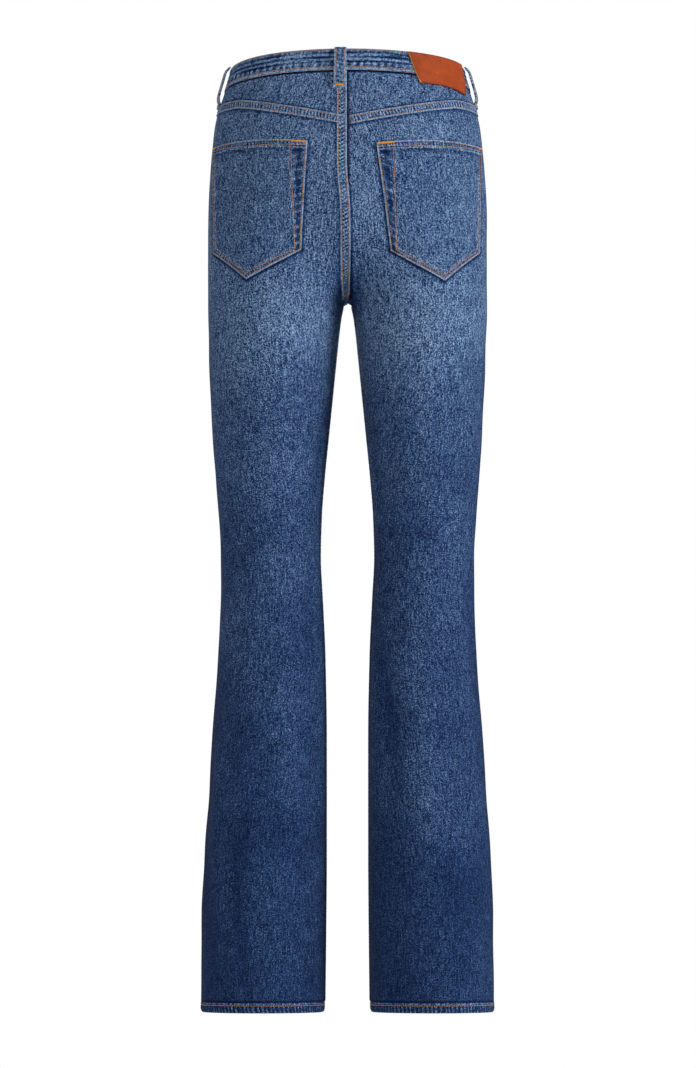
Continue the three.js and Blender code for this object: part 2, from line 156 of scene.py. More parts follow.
# Creases: side, turn and height where each starts and ends, half width, depth.
# A depth below 0 is a trough with a soft ridge on either side of it.
CREASE_ROWS = [
    (RIGHT, 0.20, -236, 0.52, -272, 7, -1.5),
    (RIGHT, 0.26, -252, 0.66, -286, 9, -1.1),
    (RIGHT, 0.10, -214, 0.30, -236, 6, -0.8),
    (RIGHT, 0.22, -350, 0.46, -368, 8, -1.2),
    (RIGHT, 0.16, -330, 0.32, -336, 6, -0.6),
    (RIGHT, 0.12, -655, 0.31, -862, 16, -2.0),
    (RIGHT, 0.40, -700, 0.46, -930, 26, 1.3),
    (RIGHT, 0.78, -560, 0.84, -830, 22, -1.4),
    (RIGHT, 0.55, -905, 0.62, -1090, 18, -1.0),
    (LEFT, 0.18, -244, 0.44, -274, 8, -0.9),
    (LEFT, 0.50, -284, 0.74, -268, 8, -0.7),
    (LEFT, 0.20, -366, 0.40, -356, 8, -0.6),
    (LEFT, 0.60, -860, 0.56, -1088, 13, -1.7),
    (LEFT, 0.86, -700, 0.80, -1060, 24, -1.8),
    (LEFT, 0.34, -640, 0.30, -900, 24, 1.2),
    (LEFT, 0.14, -560, 0.24, -700, 13, -1.0),
    (LEFT, 0.46, -560, 0.70, -578, 11, -0.7),
    (RIGHT, 0.40, -548, 0.62, -566, 11, -0.8),
    (RIGHT, 1.93, -236, 1.62, -208, 6, -1.5),
    (RIGHT, 1.93, -252, 1.56, -246, 7, -1.7),
    (RIGHT, 1.92, -268, 1.60, -288, 7, -1.3),
    (RIGHT, 1.86, -286, 1.66, -326, 8, -0.9),
    (LEFT, 1.93, -232, 1.58, -200, 6, -1.3),
    (LEFT, 1.93, -248, 1.60, -238, 7, -1.8),
    (LEFT, 1.92, -264, 1.57, -278, 7, -1.4),
    (LEFT, 1.87, -284, 1.70, -318, 8, -0.9),
    (RIGHT, 1.40, -566, 1.66, -556, 10, -1.1),
    (RIGHT, 1.34, -600, 1.62, -614, 12, -0.9),
    (LEFT, 1.38, -556, 1.64, -572, 10, -1.2),
    (LEFT, 1.44, -604, 1.68, -596, 12, -0.8),
    (RIGHT, 1.52, -660, 1.44, -1040, 24, 1.7),
    (RIGHT, 1.22, -760, 1.26, -1085, 17, -1.5),
    (LEFT, 1.48, -640, 1.54, -1020, 24, 1.6),
    (LEFT, 1.24, -820, 1.20, -1090, 17, -1.6),
    (RIGHT, 1.74, -700, 1.80, -1000, 16, -1.3),
    (LEFT, 1.78, -720, 1.72, -1040, 16, -1.4),
    (RIGHT, 1.02, -330, 1.10, -520, 14, -1.1),
    (LEFT, 1.06, -300, 0.98, -500, 14, -1.2),
    (RIGHT, 0.10, -420, 0.16, -560, 12, -1.1),
    (LEFT, 0.09, -400, 0.17, -548, 12, -1.0),
]

# Back pockets: their corners, by the distance out from the centre back and the height
POCKETS = {
    "right": {
        "top_in": (33.0, -101.0),
        "top_out": (157.0, -95.0),
        "low_in": (50.0, -226.0),
        "low_out": (153.5, -223.0),
        "point": (112.4, -260.0),
    },
    "left": {
        "top_in": (46.0, -98.5),
        "top_out": (157.0, -95.0),
        "low_in": (53.7, -225.0),
        "low_out": (155.5, -223.0),
        "point": (117.0, -258.0),
    },
}

# How far a pocket's top is bowed, how far its back and face stand off, its hem, its turned-in edge
# and its stitches in from its edges, and what the slope of its point takes off an upright distance
POCKET_TOP_BOW = 2.5
POCKET_IN = 0.3
POCKET_OUT = 1.9
POCKET_HEM = 8.6
POCKET_TURNED = 6.6
POCKET_STITCH_IN = 1.9
POCKET_POINT_SLOPE = 0.88

# The band turned in along a back pocket's inner side: its width at the bottom and at the top
POCKET_FLAP = (8.6, 20.0)

# Leather patch: its corners out from the centre back, its lower corners' heights, how its outer and
# lower edges bulge, and how far its back and face stand off
PATCH_TOP_X = (70.6, 133.0)
PATCH_LOW_X = (84.0, 137.5)
PATCH_LOW_HEIGHTS = (-27.0, -35.5)
PATCH_BULGE = 0.02
PATCH_BOW = 2.6
PATCH_BACK = 1.25
PATCH_FACE = 3.0

# Belt loops: the turn of each, how far it stands off at each drop from the waist, how far its rows
# of stitches lie from its middle, and the drop of its bar tack
LOOP_WIDTH = 14.0
LOOP_CLOTH = 2.6
LOOP_TURNS = {
    "belt_loop_back": -0.038,
    "belt_loop_side_right": 0.93,
    "belt_loop_side_left": -0.93,
    "belt_loop_front_right": 1.56,
    "belt_loop_front_left": -1.56,
}
LOOP_PROFILE = [
    (-1, 1.3), (2, 3.2), (5, 4.6), (10, 5.2), (28, 4.9), (35, 4.4), (40, 2.6), (43, 0.6), (48, 0.4),
]
LOOP_TOP = -1.0
LOOP_END = 48.0
LOOP_ROW_OUT = 4.6
LOOP_TACK_DROP = 44.6

# Front closure: distances from the centre front, and of the fly's rows from its stitched edge.
# The band's free end laps over the other, which steps back by the lap. The folds run round the band,
# and its two rows of stitches lie this far above its seam and below its top.
FLY_EDGE_X = 5.0
FLY_WIDTH = 38.0
FLY_BEND_HEIGHT = -124.0
FLY_BOTTOM = -160.0
BAND_OVER_X = 12.0
BAND_UNDER_X = 26.0
BAND_STEP_X = (16.0, 36.0)
FLY_ROWS_IN = (2.2, 8.2)
BAND_LAP = 3.3
BAND_FOLD = 5.4
BAND_ROW_LOW = 2.9
BAND_ROW_TOP = 1.7
BUTTON_STANDOFF = 1.1
BUTTON_BEADS = 14
BUTTON_PROFILE = [
    (0.0, 2.5), (3.6, 2.5), (4.3, 2.8), (4.8, 3.3), (5.4, 3.1), (6.2, 3.2), (7.0, 3.7), (7.8, 3.7),
    (8.4, 3.2), (8.6, 2.6), (8.3, 2.1), (7.6, 1.9), (3.2, 1.7), (3.2, 0.0), (0.0, 0.0),
]


def length_property(name, description, default):
    return FloatProperty(name=name, description=description, default=default, unit="LENGTH")


class JeansSizes(bpy.types.PropertyGroup):
    crease_depth: FloatProperty(
        name="Crease Depth",
        description="Share of the creases' depth",
        default=1.0,
        min=0,
        subtype="FACTOR",
    )
    pucker_depth: length_property("Pucker Depth", "Height of the ridges between two rows", 0.00032)
    felled_width: length_property("Felled Seam Width", "Width of a folded seam", 0.0104)
    hem_height: length_property("Hem Height", "Height of the turned-up hem", 0.0095)
    stitch_pitch: length_property("Stitch Pitch", "Distance from stitch to stitch", 0.0029)
    stitch_length: length_property("Stitch Length", "Length of thread that shows", 0.0025)
    thread_width: length_property("Thread Width", "Thickness of the thread", 0.00078)


def colour_property(name, description, default):
    return FloatVectorProperty(
        name=name, description=description, subtype="COLOR", default=default, min=0, max=1, size=3
    )


class JeansColours(bpy.types.PropertyGroup):
    indigo_deep: colour_property("Deep Indigo", "Shadowed warp threads", (0.003, 0.006, 0.026))
    indigo_dark: colour_property("Dark Indigo", "Hardly washed cloth", (0.010, 0.027, 0.094))
    indigo: colour_property("Indigo", "Cloth of the lower legs and knees", (0.031, 0.072, 0.186))
    indigo_worn: colour_property("Worn Indigo", "Cloth of the seat and thighs", (0.096, 0.176, 0.35))
    indigo_pale: colour_property("Pale Indigo", "Rubbed ridges and edges", (0.34, 0.50, 0.70))
    weft: colour_property("Weft", "The pale reverse of the cloth", (0.24, 0.30, 0.38))
    thread: colour_property("Thread", "Topstitching", (0.74, 0.37, 0.065))
    thread_tack: colour_property("Tack Thread", "Bar tacks", (0.74, 0.30, 0.03))
    leather: colour_property("Leather", "Leather patch", (0.36, 0.060, 0.014))
    leather_edge: colour_property("Leather Edge", "Burnished edge of the patch", (0.15, 0.03, 0.012))
    leather_cut: colour_property("Cut Leather", "Bare cut edge of the patch", (0.50, 0.26, 0.10))
    copper: colour_property("Copper", "Button", (0.62, 0.30, 0.16))
    floor: colour_property("Floor", "Floor under the jeans", (0.9, 0.9, 0.9))


def sizes():
    return bpy.context.scene.jeans_sizes


def colours():
    return bpy.context.scene.jeans_colours


def lerp(a, b, t):
    return a + (b - a) * t


def smoothstep(value, low, high):
    t = np.clip((value - low) / (high - low), 0, 1)
    return t * t * (3 - 2 * t)


def bell(value, width):
    return np.exp(-((value / width) ** 2))


class Profile:
    """A table read at any place, rounded through its rows without overshooting them."""

    def __init__(self, rows):
        rows = np.array(sorted(rows), float)
        self.at = rows[:, 0]
        self.values = rows[:, 1:]
        slopes = np.diff(self.values, axis=0) / np.diff(self.at)[:, None]
        both = slopes[:-1] * slopes[1:]
        total = slopes[:-1] + slopes[1:]
        inner = np.where(both > 0, 2 * both / np.where(total == 0, 1, total), 0)
        self.slopes = np.vstack([slopes[:1], inner, slopes[-1:]])

    def __call__(self, at, column=0):
        inside = np.clip(at, self.at[0], self.at[-1])
        i = np.clip(np.searchsorted(self.at, inside, side="right") - 1, 0, len(self.at) - 2)
        span = self.at[i + 1] - self.at[i]
        t = (inside - self.at[i]) / span
        value = self.values[:, column]
        slope = self.slopes[:, column]
        level = value[i] * (1 + 2 * t) * (1 - t) ** 2 + value[i + 1] * t**2 * (3 - 2 * t)
        return level + span * (slope[i] * t * (1 - t) ** 2 - slope[i + 1] * t**2 * (1 - t))


class Unevenness:
    """Smooth, seeded unevenness over a flat place, from -1 to 1."""

    CELLS = 64

    def __init__(self, seed):
        self.lattice = np.random.default_rng(seed).uniform(-1, 1, (self.CELLS, self.CELLS))

    def __call__(self, across, up):
        across, up = np.broadcast_arrays(across, up)
        i = np.floor(across).astype(int)
        j = np.floor(up).astype(int)
        s = smoothstep(across - i, 0, 1)
        t = smoothstep(up - j, 0, 1)
        low, high = (
            lerp(*(self.lattice[(i + a) % self.CELLS, (j + b) % self.CELLS] for a in (0, 1)), s)
            for b in (0, 1)
        )
        return lerp(low, high, t)


body = Profile(SECTION_ROWS)
wash = Profile(WASH_ROWS)
patchy = Unevenness(11)
drape = Unevenness(12)
gathers = Unevenness(13)


def back_to_front(turn):
    """The rounded cosine that gives the hips' depth: 1 at the centre back, -1 at the centre front."""
    cosine = np.cos(math.pi / 2 * turn)
    return np.sign(cosine) * np.abs(cosine) ** HIP_FULLNESS


def waist_top(turn):
    return WAIST_TILT * back_to_front(turn)


def band_seam(turn):
    return waist_top(turn) - BAND_HEIGHT


def yoke_seam(turn):
    x = YOKE_HALF_WIDTH * np.sin(math.pi / 2 * np.abs(turn))
    return lerp(YOKE_MIDDLE, YOKE_SIDE, np.minimum(1, x / YOKE_POINT_X))


def hem_sweep(turn):
    """How far the hem is raised: it hangs lowest at its sides and is cut higher behind."""
    return HEM_LIFT * np.where(np.mod(turn, 2) < 1, np.sin(math.pi * turn), 0) - HEM_DROP


def seat_merge(height, turn):
    """How far a section has gone from a leg's own ring to the ring of the whole hips."""
    rise = np.where(turn < 1, BACK_FORK_RISE, FRONT_FORK_RISE)
    up = np.clip((height - CROTCH) / rise, 0, 1)
    by_seam = np.sqrt(1 - (1 - up) ** 2)
    away = smoothstep(height, SEAT_MERGE_LOW, SEAT_MERGE_HIGH)
    from_seam = np.minimum(1, np.minimum(turn, 2 - turn) / SEAT_MERGE_TURN)
    return lerp(by_seam, away, np.sin(math.pi / 2 * from_seam))


def crotch_arch(height, turn):
    """How far the legs are drawn together at the inseam, fully at the crotch and not below its arch."""
    down = np.clip((CROTCH - height) / ARCH_DEPTH, 0, 1)
    from_seam = np.minimum(turn, 2 - turn) / ARCH_TURN
    return (1 - np.sqrt(1 - (1 - down) ** 2)) * (1 - smoothstep(from_seam, 0, 1))


def body_point(height, turn):
    """The smooth right half. Turn is 0 at the centre back and inseam, 1 at the side, 2 at the front."""
    outer = body(height, OUTER)
    inner = body(height, INNER)
    depth = np.where(turn < 1, body(height, BACK), body(height, FRONT))
    ring_x = (outer + inner) / 2 - (outer - inner) / 2 * np.cos(math.pi * turn)
    leg_x = ring_x - inner * crotch_arch(height, turn)
    leg_y = -depth * np.sin(math.pi * turn)
    hip_x = outer * np.sin(math.pi / 2 * turn)
    hip_y = -depth * back_to_front(turn)
    merge = seat_merge(height, turn)
    return np.stack([lerp(leg_x, hip_x, merge), lerp(leg_y, hip_y, merge), height], -1)


def at_seam(turn):
    return (turn < 1e-6) | (turn > 2 - 1e-6)


def body_normal(height, turn):
    up = body_point(height + 0.5, turn) - body_point(height - 0.5, turn)
    next_turn = np.minimum(turn + 0.004, 2)
    last_turn = np.maximum(turn - 0.004, 0)
    normal = np.cross(body_point(height, next_turn) - body_point(height, last_turn), up)
    normal[at_seam(turn) & (height > CROTCH), 0] = 0
    normal[at_seam(turn) & (height <= CROTCH), 1] = 0
    return normal / np.linalg.norm(normal, axis=-1, keepdims=True)


def crease_relief(height, turn, side):
    """How far the creases and the slack of the cloth move it off the smooth body."""
    relief = 0.9 * drape(turn * 2.6 + 20 * side, height / 95)
    relief = relief + 0.4 * drape(turn * 6 + 9 * side, height / 41)
    for crease_side, turn_a, height_a, turn_b, height_b, width, depth in CREASE_ROWS:
        along = np.array([(turn_b - turn_a) * MM_A_TURN, height_b - height_a])
        length = np.linalg.norm(along)
        out = (turn - turn_a) * MM_A_TURN
        up = height - height_a
        t = np.clip((out * along[0] + up * along[1]) / length**2, 0, 1)
        bend = 0.07 * length * np.sin(math.pi * t)
        off = (out * along[1] - up * along[0]) / length + bend
        past = np.hypot(out - t * along[0], up - t * along[1]) ** 2 - (off - bend) ** 2
        square = (off**2 + np.maximum(past, 0)) / width**2
        taper = np.sin(math.pi * (0.06 + 0.88 * t)) ** 0.8
        shape = (1 - 0.7 * square) * np.exp(-square / 1.3)
        relief = relief + np.where(side == crease_side, depth * taper * shape, 0)
    free = smoothstep(np.minimum(turn, 2 - turn), 0.0, 0.1) * smoothstep(-height, 20, 80)
    return relief * free * sizes().crease_depth


def hem_corner(height, turn):
    """How far the hem is drawn in at its lowest edge beside the seams."""
    down = np.clip((HEM + HEM_CORNER - HEM_DROP - height) / HEM_CORNER, 0, 1)
    beside_seam = bell(np.minimum(turn, 2 - turn), 0.13) + bell(turn - 1, 0.13)
    return 0.7 * HEM_CORNER * (1 - np.sqrt(1 - down**2)) * beside_seam


def garment(height, turn, side, lift=0.0):
    """A point on the creased garment, lifted off its cloth, for a turn from 0 to 2 on either side."""
    height, turn, side, lift = np.broadcast_arrays(
        np.asarray(height, float), np.asarray(turn, float), side, np.asarray(lift, float)
    )
    raised = crease_relief(height, turn, side) - hem_corner(height, turn) + lift
    point = body_point(height, turn) + body_normal(height, turn) * raised[..., None]
    point[at_seam(turn) & (height <= CROTCH), 1] = 0
    point[..., 0] = np.maximum(point[..., 0], 0) * side
    return point


def on_half(side):
    """Places on one half of the garment. Turns are below 0 on the wearer's left."""
    return lambda height, turn, lift=0.0: garment(height, np.clip(side * turn, 0, 2), side, lift)


def on_leg(side):
    """Places round one leg, where a turn runs on past the inseam."""
    return lambda height, turn, lift=0.0: garment(height, np.mod(side * turn, 2), side, lift)


def half_of(turn):
    """The turn and side that a turn round the waist stands for. Past 2 or -2 it crosses the front."""
    size = np.abs(turn)
    side = np.where((turn < 0) != (size > 2), LEFT, RIGHT)
    return np.where(size > 2, 4 - size, size), side


def on_waist(height, turn, lift=0.0):
    """Places round the waist and seat, across the centre seams."""
    return garment(height, *half_of(turn), lift)


def turn_out_to(x, height):
    """The turn past a centre seam at which the hips lie this far out from it."""
    return np.arcsin(np.clip(x / body(height, OUTER), -1, 1)) / (math.pi / 2)


def turn_at(x, height):
    """The turn at which a height of the back lies this far out from the centre back."""
    x, height = np.broadcast_arrays(np.asarray(x, float), np.asarray(height, float))
    low, high = np.zeros(x.shape), np.ones(x.shape)
    for _ in range(16):
        middle = (low + high) / 2
        short = body_point(height, middle)[..., 0] < x
        low = np.where(short, middle, low)
        high = np.where(short, high, middle)
    return (low + high) / 2


def run(points, axis):
    """Distances along the rows or the columns of a grid of points."""
    steps = np.linalg.norm(np.diff(points, axis=axis), axis=-1)
    return np.insert(np.cumsum(steps, axis=axis), 0, 0, axis=axis)


def spaced(length, pitch, roll=0.8):
    """Shares of a length, a pitch apart, and closer together where both ends are rolled over."""
    inner = np.linspace(roll, length - roll, max(2, round((length - 2 * roll) / pitch) + 1))
    ends = np.array([0, 0.08, 0.3, 0.6]) * roll
    return np.concatenate([ends, inner, length - ends[::-1]]) / length


class Layout:
    """Where the rows and columns of a piece lie on the garment, with distances to its borders."""

    def __init__(self, on, height, turn):
        self.on = on
        self.height, self.turn = np.broadcast_arrays(height, turn)
        points = on(self.height, self.turn)
        self.across = run(points, 1)
        self.up = run(points, 0)
        self.left, self.right = self.across, self.across[:, -1:] - self.across
        self.bottom, self.top = self.up, self.up[-1:] - self.up
        self.edge = np.minimum.reduce([self.left, self.right, self.bottom, self.top])


def slopes_at(on, height, turn):
    """How a place on the garment moves for a change in its turn and for one in its height."""
    turn_step = 0.001
    height_step = 0.1
    by_turn = (on(height, turn + turn_step) - on(height, turn - turn_step)) / (2 * turn_step)
    by_height = (on(height + height_step, turn) - on(height - height_step, turn)) / (2 * height_step)
    return by_turn, by_height


def unit(vectors):
    return vectors / np.linalg.norm(vectors, axis=-1, keepdims=True)


def dot(one, other):
    return np.sum(one * other, -1)


def walk(on, height, turn, sideways, distance):
    """The heights and turns reached by walking straight over the garment in short steps."""
    steps = max(1, int(np.ceil(np.max(np.abs(distance)) / 0.6)))
    for _ in range(steps):
        by_turn, by_height = slopes_at(on, height, turn)
        normal = unit(np.cross(by_turn, by_height))
        sideways = unit(sideways - normal * dot(sideways, normal)[..., None])
        a, b, c = dot(by_turn, by_turn), dot(by_turn, by_height), dot(by_height, by_height)
        p = dot(sideways, by_turn)
        q = dot(sideways, by_height)
        step = distance / steps / (a * c - b * b)
        height = height + step * (a * q - b * p)
        turn = turn + step * (c * p - b * q)
    return height, turn, sideways


def beside(on, height, turn, across):
    """The heights and turns of rows that run this far to the left of a line on the garment."""
    by_turn, by_height = slopes_at(on, height, turn)
    ahead = by_turn * np.gradient(turn)[:, None] + by_height * np.gradient(height)[:, None]
    start = unit(np.cross(unit(np.cross(by_turn, by_height)), ahead))
    across = np.broadcast_to(across, (len(across), len(height)))
    rows = [None] * len(across)
    first = int(np.argmin(np.abs(across[:, 0])))
    place = walk(on, height, turn, start, across[first])
    rows[first] = place[:2]
    for order in (range(first + 1, len(across)), range(first - 1, -1, -1)):
        reached = place
        before = across[first]
        for i in order:
            reached = walk(on, *reached, across[i] - before)
            before = across[i]
            rows[i] = reached[:2]
    return np.array([row[0] for row in rows]), np.array([row[1] for row in rows])


def wear_and_shade(height, turn, side):
    """How pale the cloth is at a place, before its seams: lightest on the seat and the thighs from
    wear, and darker where shade is painted just above the crotch behind, along the lower inseams and
    towards the outer sides.
    """
    back = turn < 1
    level = wash(height) + 0.03 * patchy(turn * 3 + 30 * side, height / 60)
    behind = bell(turn - THIGH_BACK[0], 0.36) * bell(height - THIGH_BACK[1], 78)
    behind = np.where(side == RIGHT, *THIGH_BACK_PALENESS) * behind
    ahead = bell(turn - THIGH_FRONT[0], 0.3) * bell(height - THIGH_FRONT[1], 150)
    level = level + np.where(back, behind, THIGH_FRONT_PALENESS * ahead)
    # Painted shade just above the crotch, beside the centre back.
    level = level - np.where(back, 0.06 * bell(turn - 0.05, 0.1) * bell(height + 262, 40), 0)
    from_inseam = np.minimum(turn, 2 - turn)
    # Painted shade along the inseams of the lower legs, where the legs face each other.
    level = level - 0.06 * bell(from_inseam, 0.12) * smoothstep(-height, 300, 420)
    level = level - 0.13 * bell(from_inseam, 0.05) * smoothstep(-height, 320, 420)
    level = level + 0.035 * crease_relief(height, turn, side)
    # Painted shade towards the outer sides, darkest just behind the side seam.
    return level - 0.03 * bell(turn - 1, 0.2) - 0.12 * bell(turn - 0.98, 0.05)


def rungs(along, pitch, seed):
    """The uneven ladder of ridges that a sewing machine draws up along a seam, from -1 to 1."""
    wander = 1.1 * gathers(along / (pitch * 4.3), seed + 0.5)
    wander = wander + 0.6 * gathers(along / (pitch * 1.9), seed + 7.5)
    strength = 0.68 + 0.42 * gathers(along / (pitch * 2.7), seed + 3.5)
    return np.clip(1.35 * np.sin(2 * math.pi * along / pitch + 2.2 * wander), -1, 1) * strength


class Worth:
    """A number at each point of a surface, with the usual sums."""

    def __init__(self, material, socket):
        self.material = material
        self.socket = socket

    def sum(self, operation, *values):
        return self.material.node("ShaderNodeMath", {"operation": operation}, values)

    def __add__(self, other):
        return self.sum("ADD", self, other)

    def __radd__(self, other):
        return self.sum("ADD", other, self)

    def __sub__(self, other):
        return self.sum("SUBTRACT", self, other)

    def __rsub__(self, other):
        return self.sum("SUBTRACT", other, self)

    def __mul__(self, other):
        return self.sum("MULTIPLY", self, other)

    def __rmul__(self, other):
        return self.sum("MULTIPLY", other, self)

    def wave(self):
        return self.sum("SINE", self)

    def clamped(self):
        return self.material.node("ShaderNodeClamp", {}, [self, 0, 1])


class Finish:
    """A material whose nodes are added one at a time."""

    def __init__(self, name, roughness, **constants):
        self.data = bpy.data.materials.new(name)
        self.data.use_nodes = True
        self.tree = self.data.node_tree
        self.shader = self.tree.nodes["Principled BSDF"]
        self.shader.inputs["Roughness"].default_value = roughness
        for socket, value in constants.items():
            self.shader.inputs[socket.replace("_", " ")].default_value = value

    def node(self, kind, settings=None, inputs=(), output=0):
        """Adds a node, with its settings first and then the values or links of its sockets."""
        made = self.tree.nodes.new(kind)
        for setting, value in (settings or {}).items():
            if setting == "stops":
                ramp = made.color_ramp
                while len(ramp.elements) < len(value):
                    ramp.elements.new(0.5)
                for element, (position, colour) in zip(ramp.elements, value):
                    element.position = position
                    element.color = (*colour, 1)
            else:
                setattr(made, setting, value)
        named = inputs.items() if isinstance(inputs, dict) else enumerate(inputs)
        for socket, value in named:
            self.feed(made.inputs[socket], value)
        return Worth(self, made.outputs[output])

    def feed(self, socket, value):
        if isinstance(value, Worth):
            self.tree.links.new(value.socket, socket)
        elif value is not None:
            socket.default_value = value

    def shade(self, socket, value):
        self.feed(self.shader.inputs[socket], value)

    def attribute(self, name):
        return self.node("ShaderNodeAttribute", {"attribute_name": name}, output="Fac")

    def cloth_place(self, across, up):
        """The piece's own flat coordinates, in metres, scaled across and up the cloth."""
        flat = self.node("ShaderNodeUVMap", {"uv_map": "Cloth"})
        return self.node("ShaderNodeMapping", {}, {"Vector": flat, "Scale": (across, up, 1)})

    def parts(self, place):
        """How far across and how far up a place is."""
        split = self.node("ShaderNodeSeparateXYZ", {}, [place]).socket.node
        return Worth(self, split.outputs["X"]), Worth(self, split.outputs["Y"])

    def noise(self, across, up, detail=1.0, roughness=0.5):
        """Noise that follows the cloth, with this many grains to a metre across and up."""
        inputs = {"Vector": self.cloth_place(across, up), "Scale": 1.0}
        inputs.update({"Detail": detail, "Roughness": roughness})
        return self.node("ShaderNodeTexNoise", {"noise_dimensions": "2D"}, inputs)

    def solid_noise(self, scale, detail):
        place = self.node("ShaderNodeTexCoord", output="Object")
        inputs = {"Vector": place, "Scale": scale, "Detail": detail}
        return self.node("ShaderNodeTexNoise", {}, inputs)

    def colour_by(self, level, stops):
        """Colours the piece by a level, between the colours of the stops."""
        self.shade("Base Color", self.node("ShaderNodeValToRGB", {"stops": stops}, [level]))

    def bump(self, height, strength, distance):
        inputs = {"Height": height, "Strength": strength, "Distance": distance}
        self.shade("Normal", self.node("ShaderNodeBump", {}, inputs))


def weave_of(finish):
    """The cloth's twill lines, its salt-and-pepper grain and slubs, and the paleness that they add."""
    across, up = finish.parts(finish.cloth_place(4200.0, 2400.0))
    twill = (across + up).wave()
    speck = finish.node(
        "ShaderNodeTexVoronoi",
        {"voronoi_dimensions": "2D"},
        {"Vector": finish.cloth_place(1300.0, 950.0), "Scale": 1.0},
        output="Color",
    )
    speck = finish.node("ShaderNodeSeparateColor", {}, [speck]) - 0.5
    grain = finish.noise(1150.0, 820.0, roughness=0.6) - 0.5
    slub = finish.noise(700.0, 60.0) - 0.5
    cloud = finish.noise(46.0, 26.0, detail=2.0) - 0.5
    yarn = speck * 0.88 + grain * 1.5 + slub * 0.75 + cloud * 0.14 + twill * 0.04 - 0.045
    return twill, grain, yarn


def denim(name, reverse=False):
    tones = colours()
    finish = Finish(name, 0.95, Specular_IOR_Level=0.06)
    twill, grain, yarn = weave_of(finish)
    if reverse:
        stops = [(0.2, tones.indigo), (0.5, tones.weft), (0.85, tones.indigo_pale)]
        finish.colour_by(yarn * 0.9 + 0.5, stops)
    else:
        # The level is the cloth's paleness from wear, lowered where the pieces paint shade beside
        # seams, stitches, pockets, the fly, the crotch and the inseams.
        level = finish.attribute("fade")
        stops = [
            (0.0, tones.indigo_deep),
            (0.24, tones.indigo_dark),
            (0.44, tones.indigo),
            (0.66, tones.indigo_worn),
            (1.0, tones.indigo_pale),
        ]
        worn_yarn = yarn * (level * 1.5 + 0.16).clamped()
        finish.colour_by(level + worn_yarn, stops)
    finish.bump(twill * 0.35 + grain * 1.6, 0.5, 0.00022)
    return finish.data


def thread_finish(name, base, relief):
    finish = Finish(name, 0.7, Specular_IOR_Level=0.15)
    level = finish.attribute("fade")
    dark = [c * 0.42 for c in base]
    pale = [min(1, c * 1.5 + 0.03) for c in base]
    finish.colour_by(level, [(0, dark), (0.5, base), (1, pale)])
    finish.bump(finish.solid_noise(2600.0, 1.0), relief, 0.0001)
    return finish.data


def leather_finish():
    tones = colours()
    finish = Finish("leather_patch_hide", 0.6, Specular_IOR_Level=0.07)
    edge = finish.attribute("fade")
    pores = finish.node(
        "ShaderNodeTexVoronoi",
        {"feature": "DISTANCE_TO_EDGE"},
        {"Vector": finish.cloth_place(1.0, 1.0), "Scale": 1500.0},
    )
    clouds = finish.noise(85.0, 85.0, detail=3.0, roughness=0.6)
    flecks = finish.noise(700.0, 420.0, detail=2.0)
    level = (edge + (clouds - 0.5) * 0.9 + (flecks - 0.5) * 0.4).clamped()
    pale = tuple(c * 1.15 for c in tones.leather)
    stops = [(0.0, tones.leather_edge), (0.55, tones.leather), (0.88, pale), (1.0, tones.leather_cut)]
    finish.colour_by(level, stops)
    finish.shade("Roughness", 0.62 - level * 0.22)
    finish.bump(pores * 1.5 + flecks * 0.4, 0.35, 0.00012)
    return finish.data


def copper_finish():
    tones = colours()
    finish = Finish("aged_copper", 0.35, Metallic=1.0)
    tarnish = finish.solid_noise(420.0, 3.0)
    dark = tuple(c * 0.35 for c in tones.copper)
    finish.colour_by(tarnish, [(0.3, dark), (0.62, tones.copper)])
    finish.shade("Roughness", 0.55 - tarnish * 0.35)
    finish.bump(tarnish, 0.15, 0.0001)
    return finish.data


FINISHES = {
    "denim": lambda: denim("washed_denim"),
    "reverse": lambda: denim("denim_reverse", reverse=True),
    "thread": lambda: thread_finish("topstitch_thread", colours().thread, 0.4),
    "tack": lambda: thread_finish("tack_thread", colours().thread_tack, 0.5),
    "leather": leather_finish,
    "copper": copper_finish,
}
made_finishes = {}


def finish_of(name):
    """Each finish is made once, when it is first used."""
    if name not in made_finishes:
        made_finishes[name] = FINISHES[name]()
    return made_finishes[name]


def take(piece, replaced=()):
    """Puts a finished piece on the garment's body, and hides the parts of the model that it replaces.
    """
    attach(piece, "root")
    if replaced:
        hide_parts(*replaced)


def mesh_of(name, made):
    """Closes a bmesh into a mesh."""
    mesh = bpy.data.meshes.new(name)
    made.to_mesh(mesh)
    made.free()
    return mesh


def object_of(name, mesh, finishes):
    for finish in finishes:
        mesh.materials.append(finish_of(finish))
    mesh.polygons.foreach_set("use_smooth", np.ones(len(mesh.polygons), bool))
    piece = bpy.data.objects.new(name, mesh)
    bpy.context.scene.collection.objects.link(piece)
    return piece


# The finishes of a piece's face and of its reverse
DENIM = ("denim", "reverse")
FOLDED_DENIM = ("denim", "denim")


def set_values(mesh, name, values):
    layer = mesh.attributes.new(name, "FLOAT", "POINT")
    layer.data.foreach_set("value", np.asarray(values, np.float32).ravel())


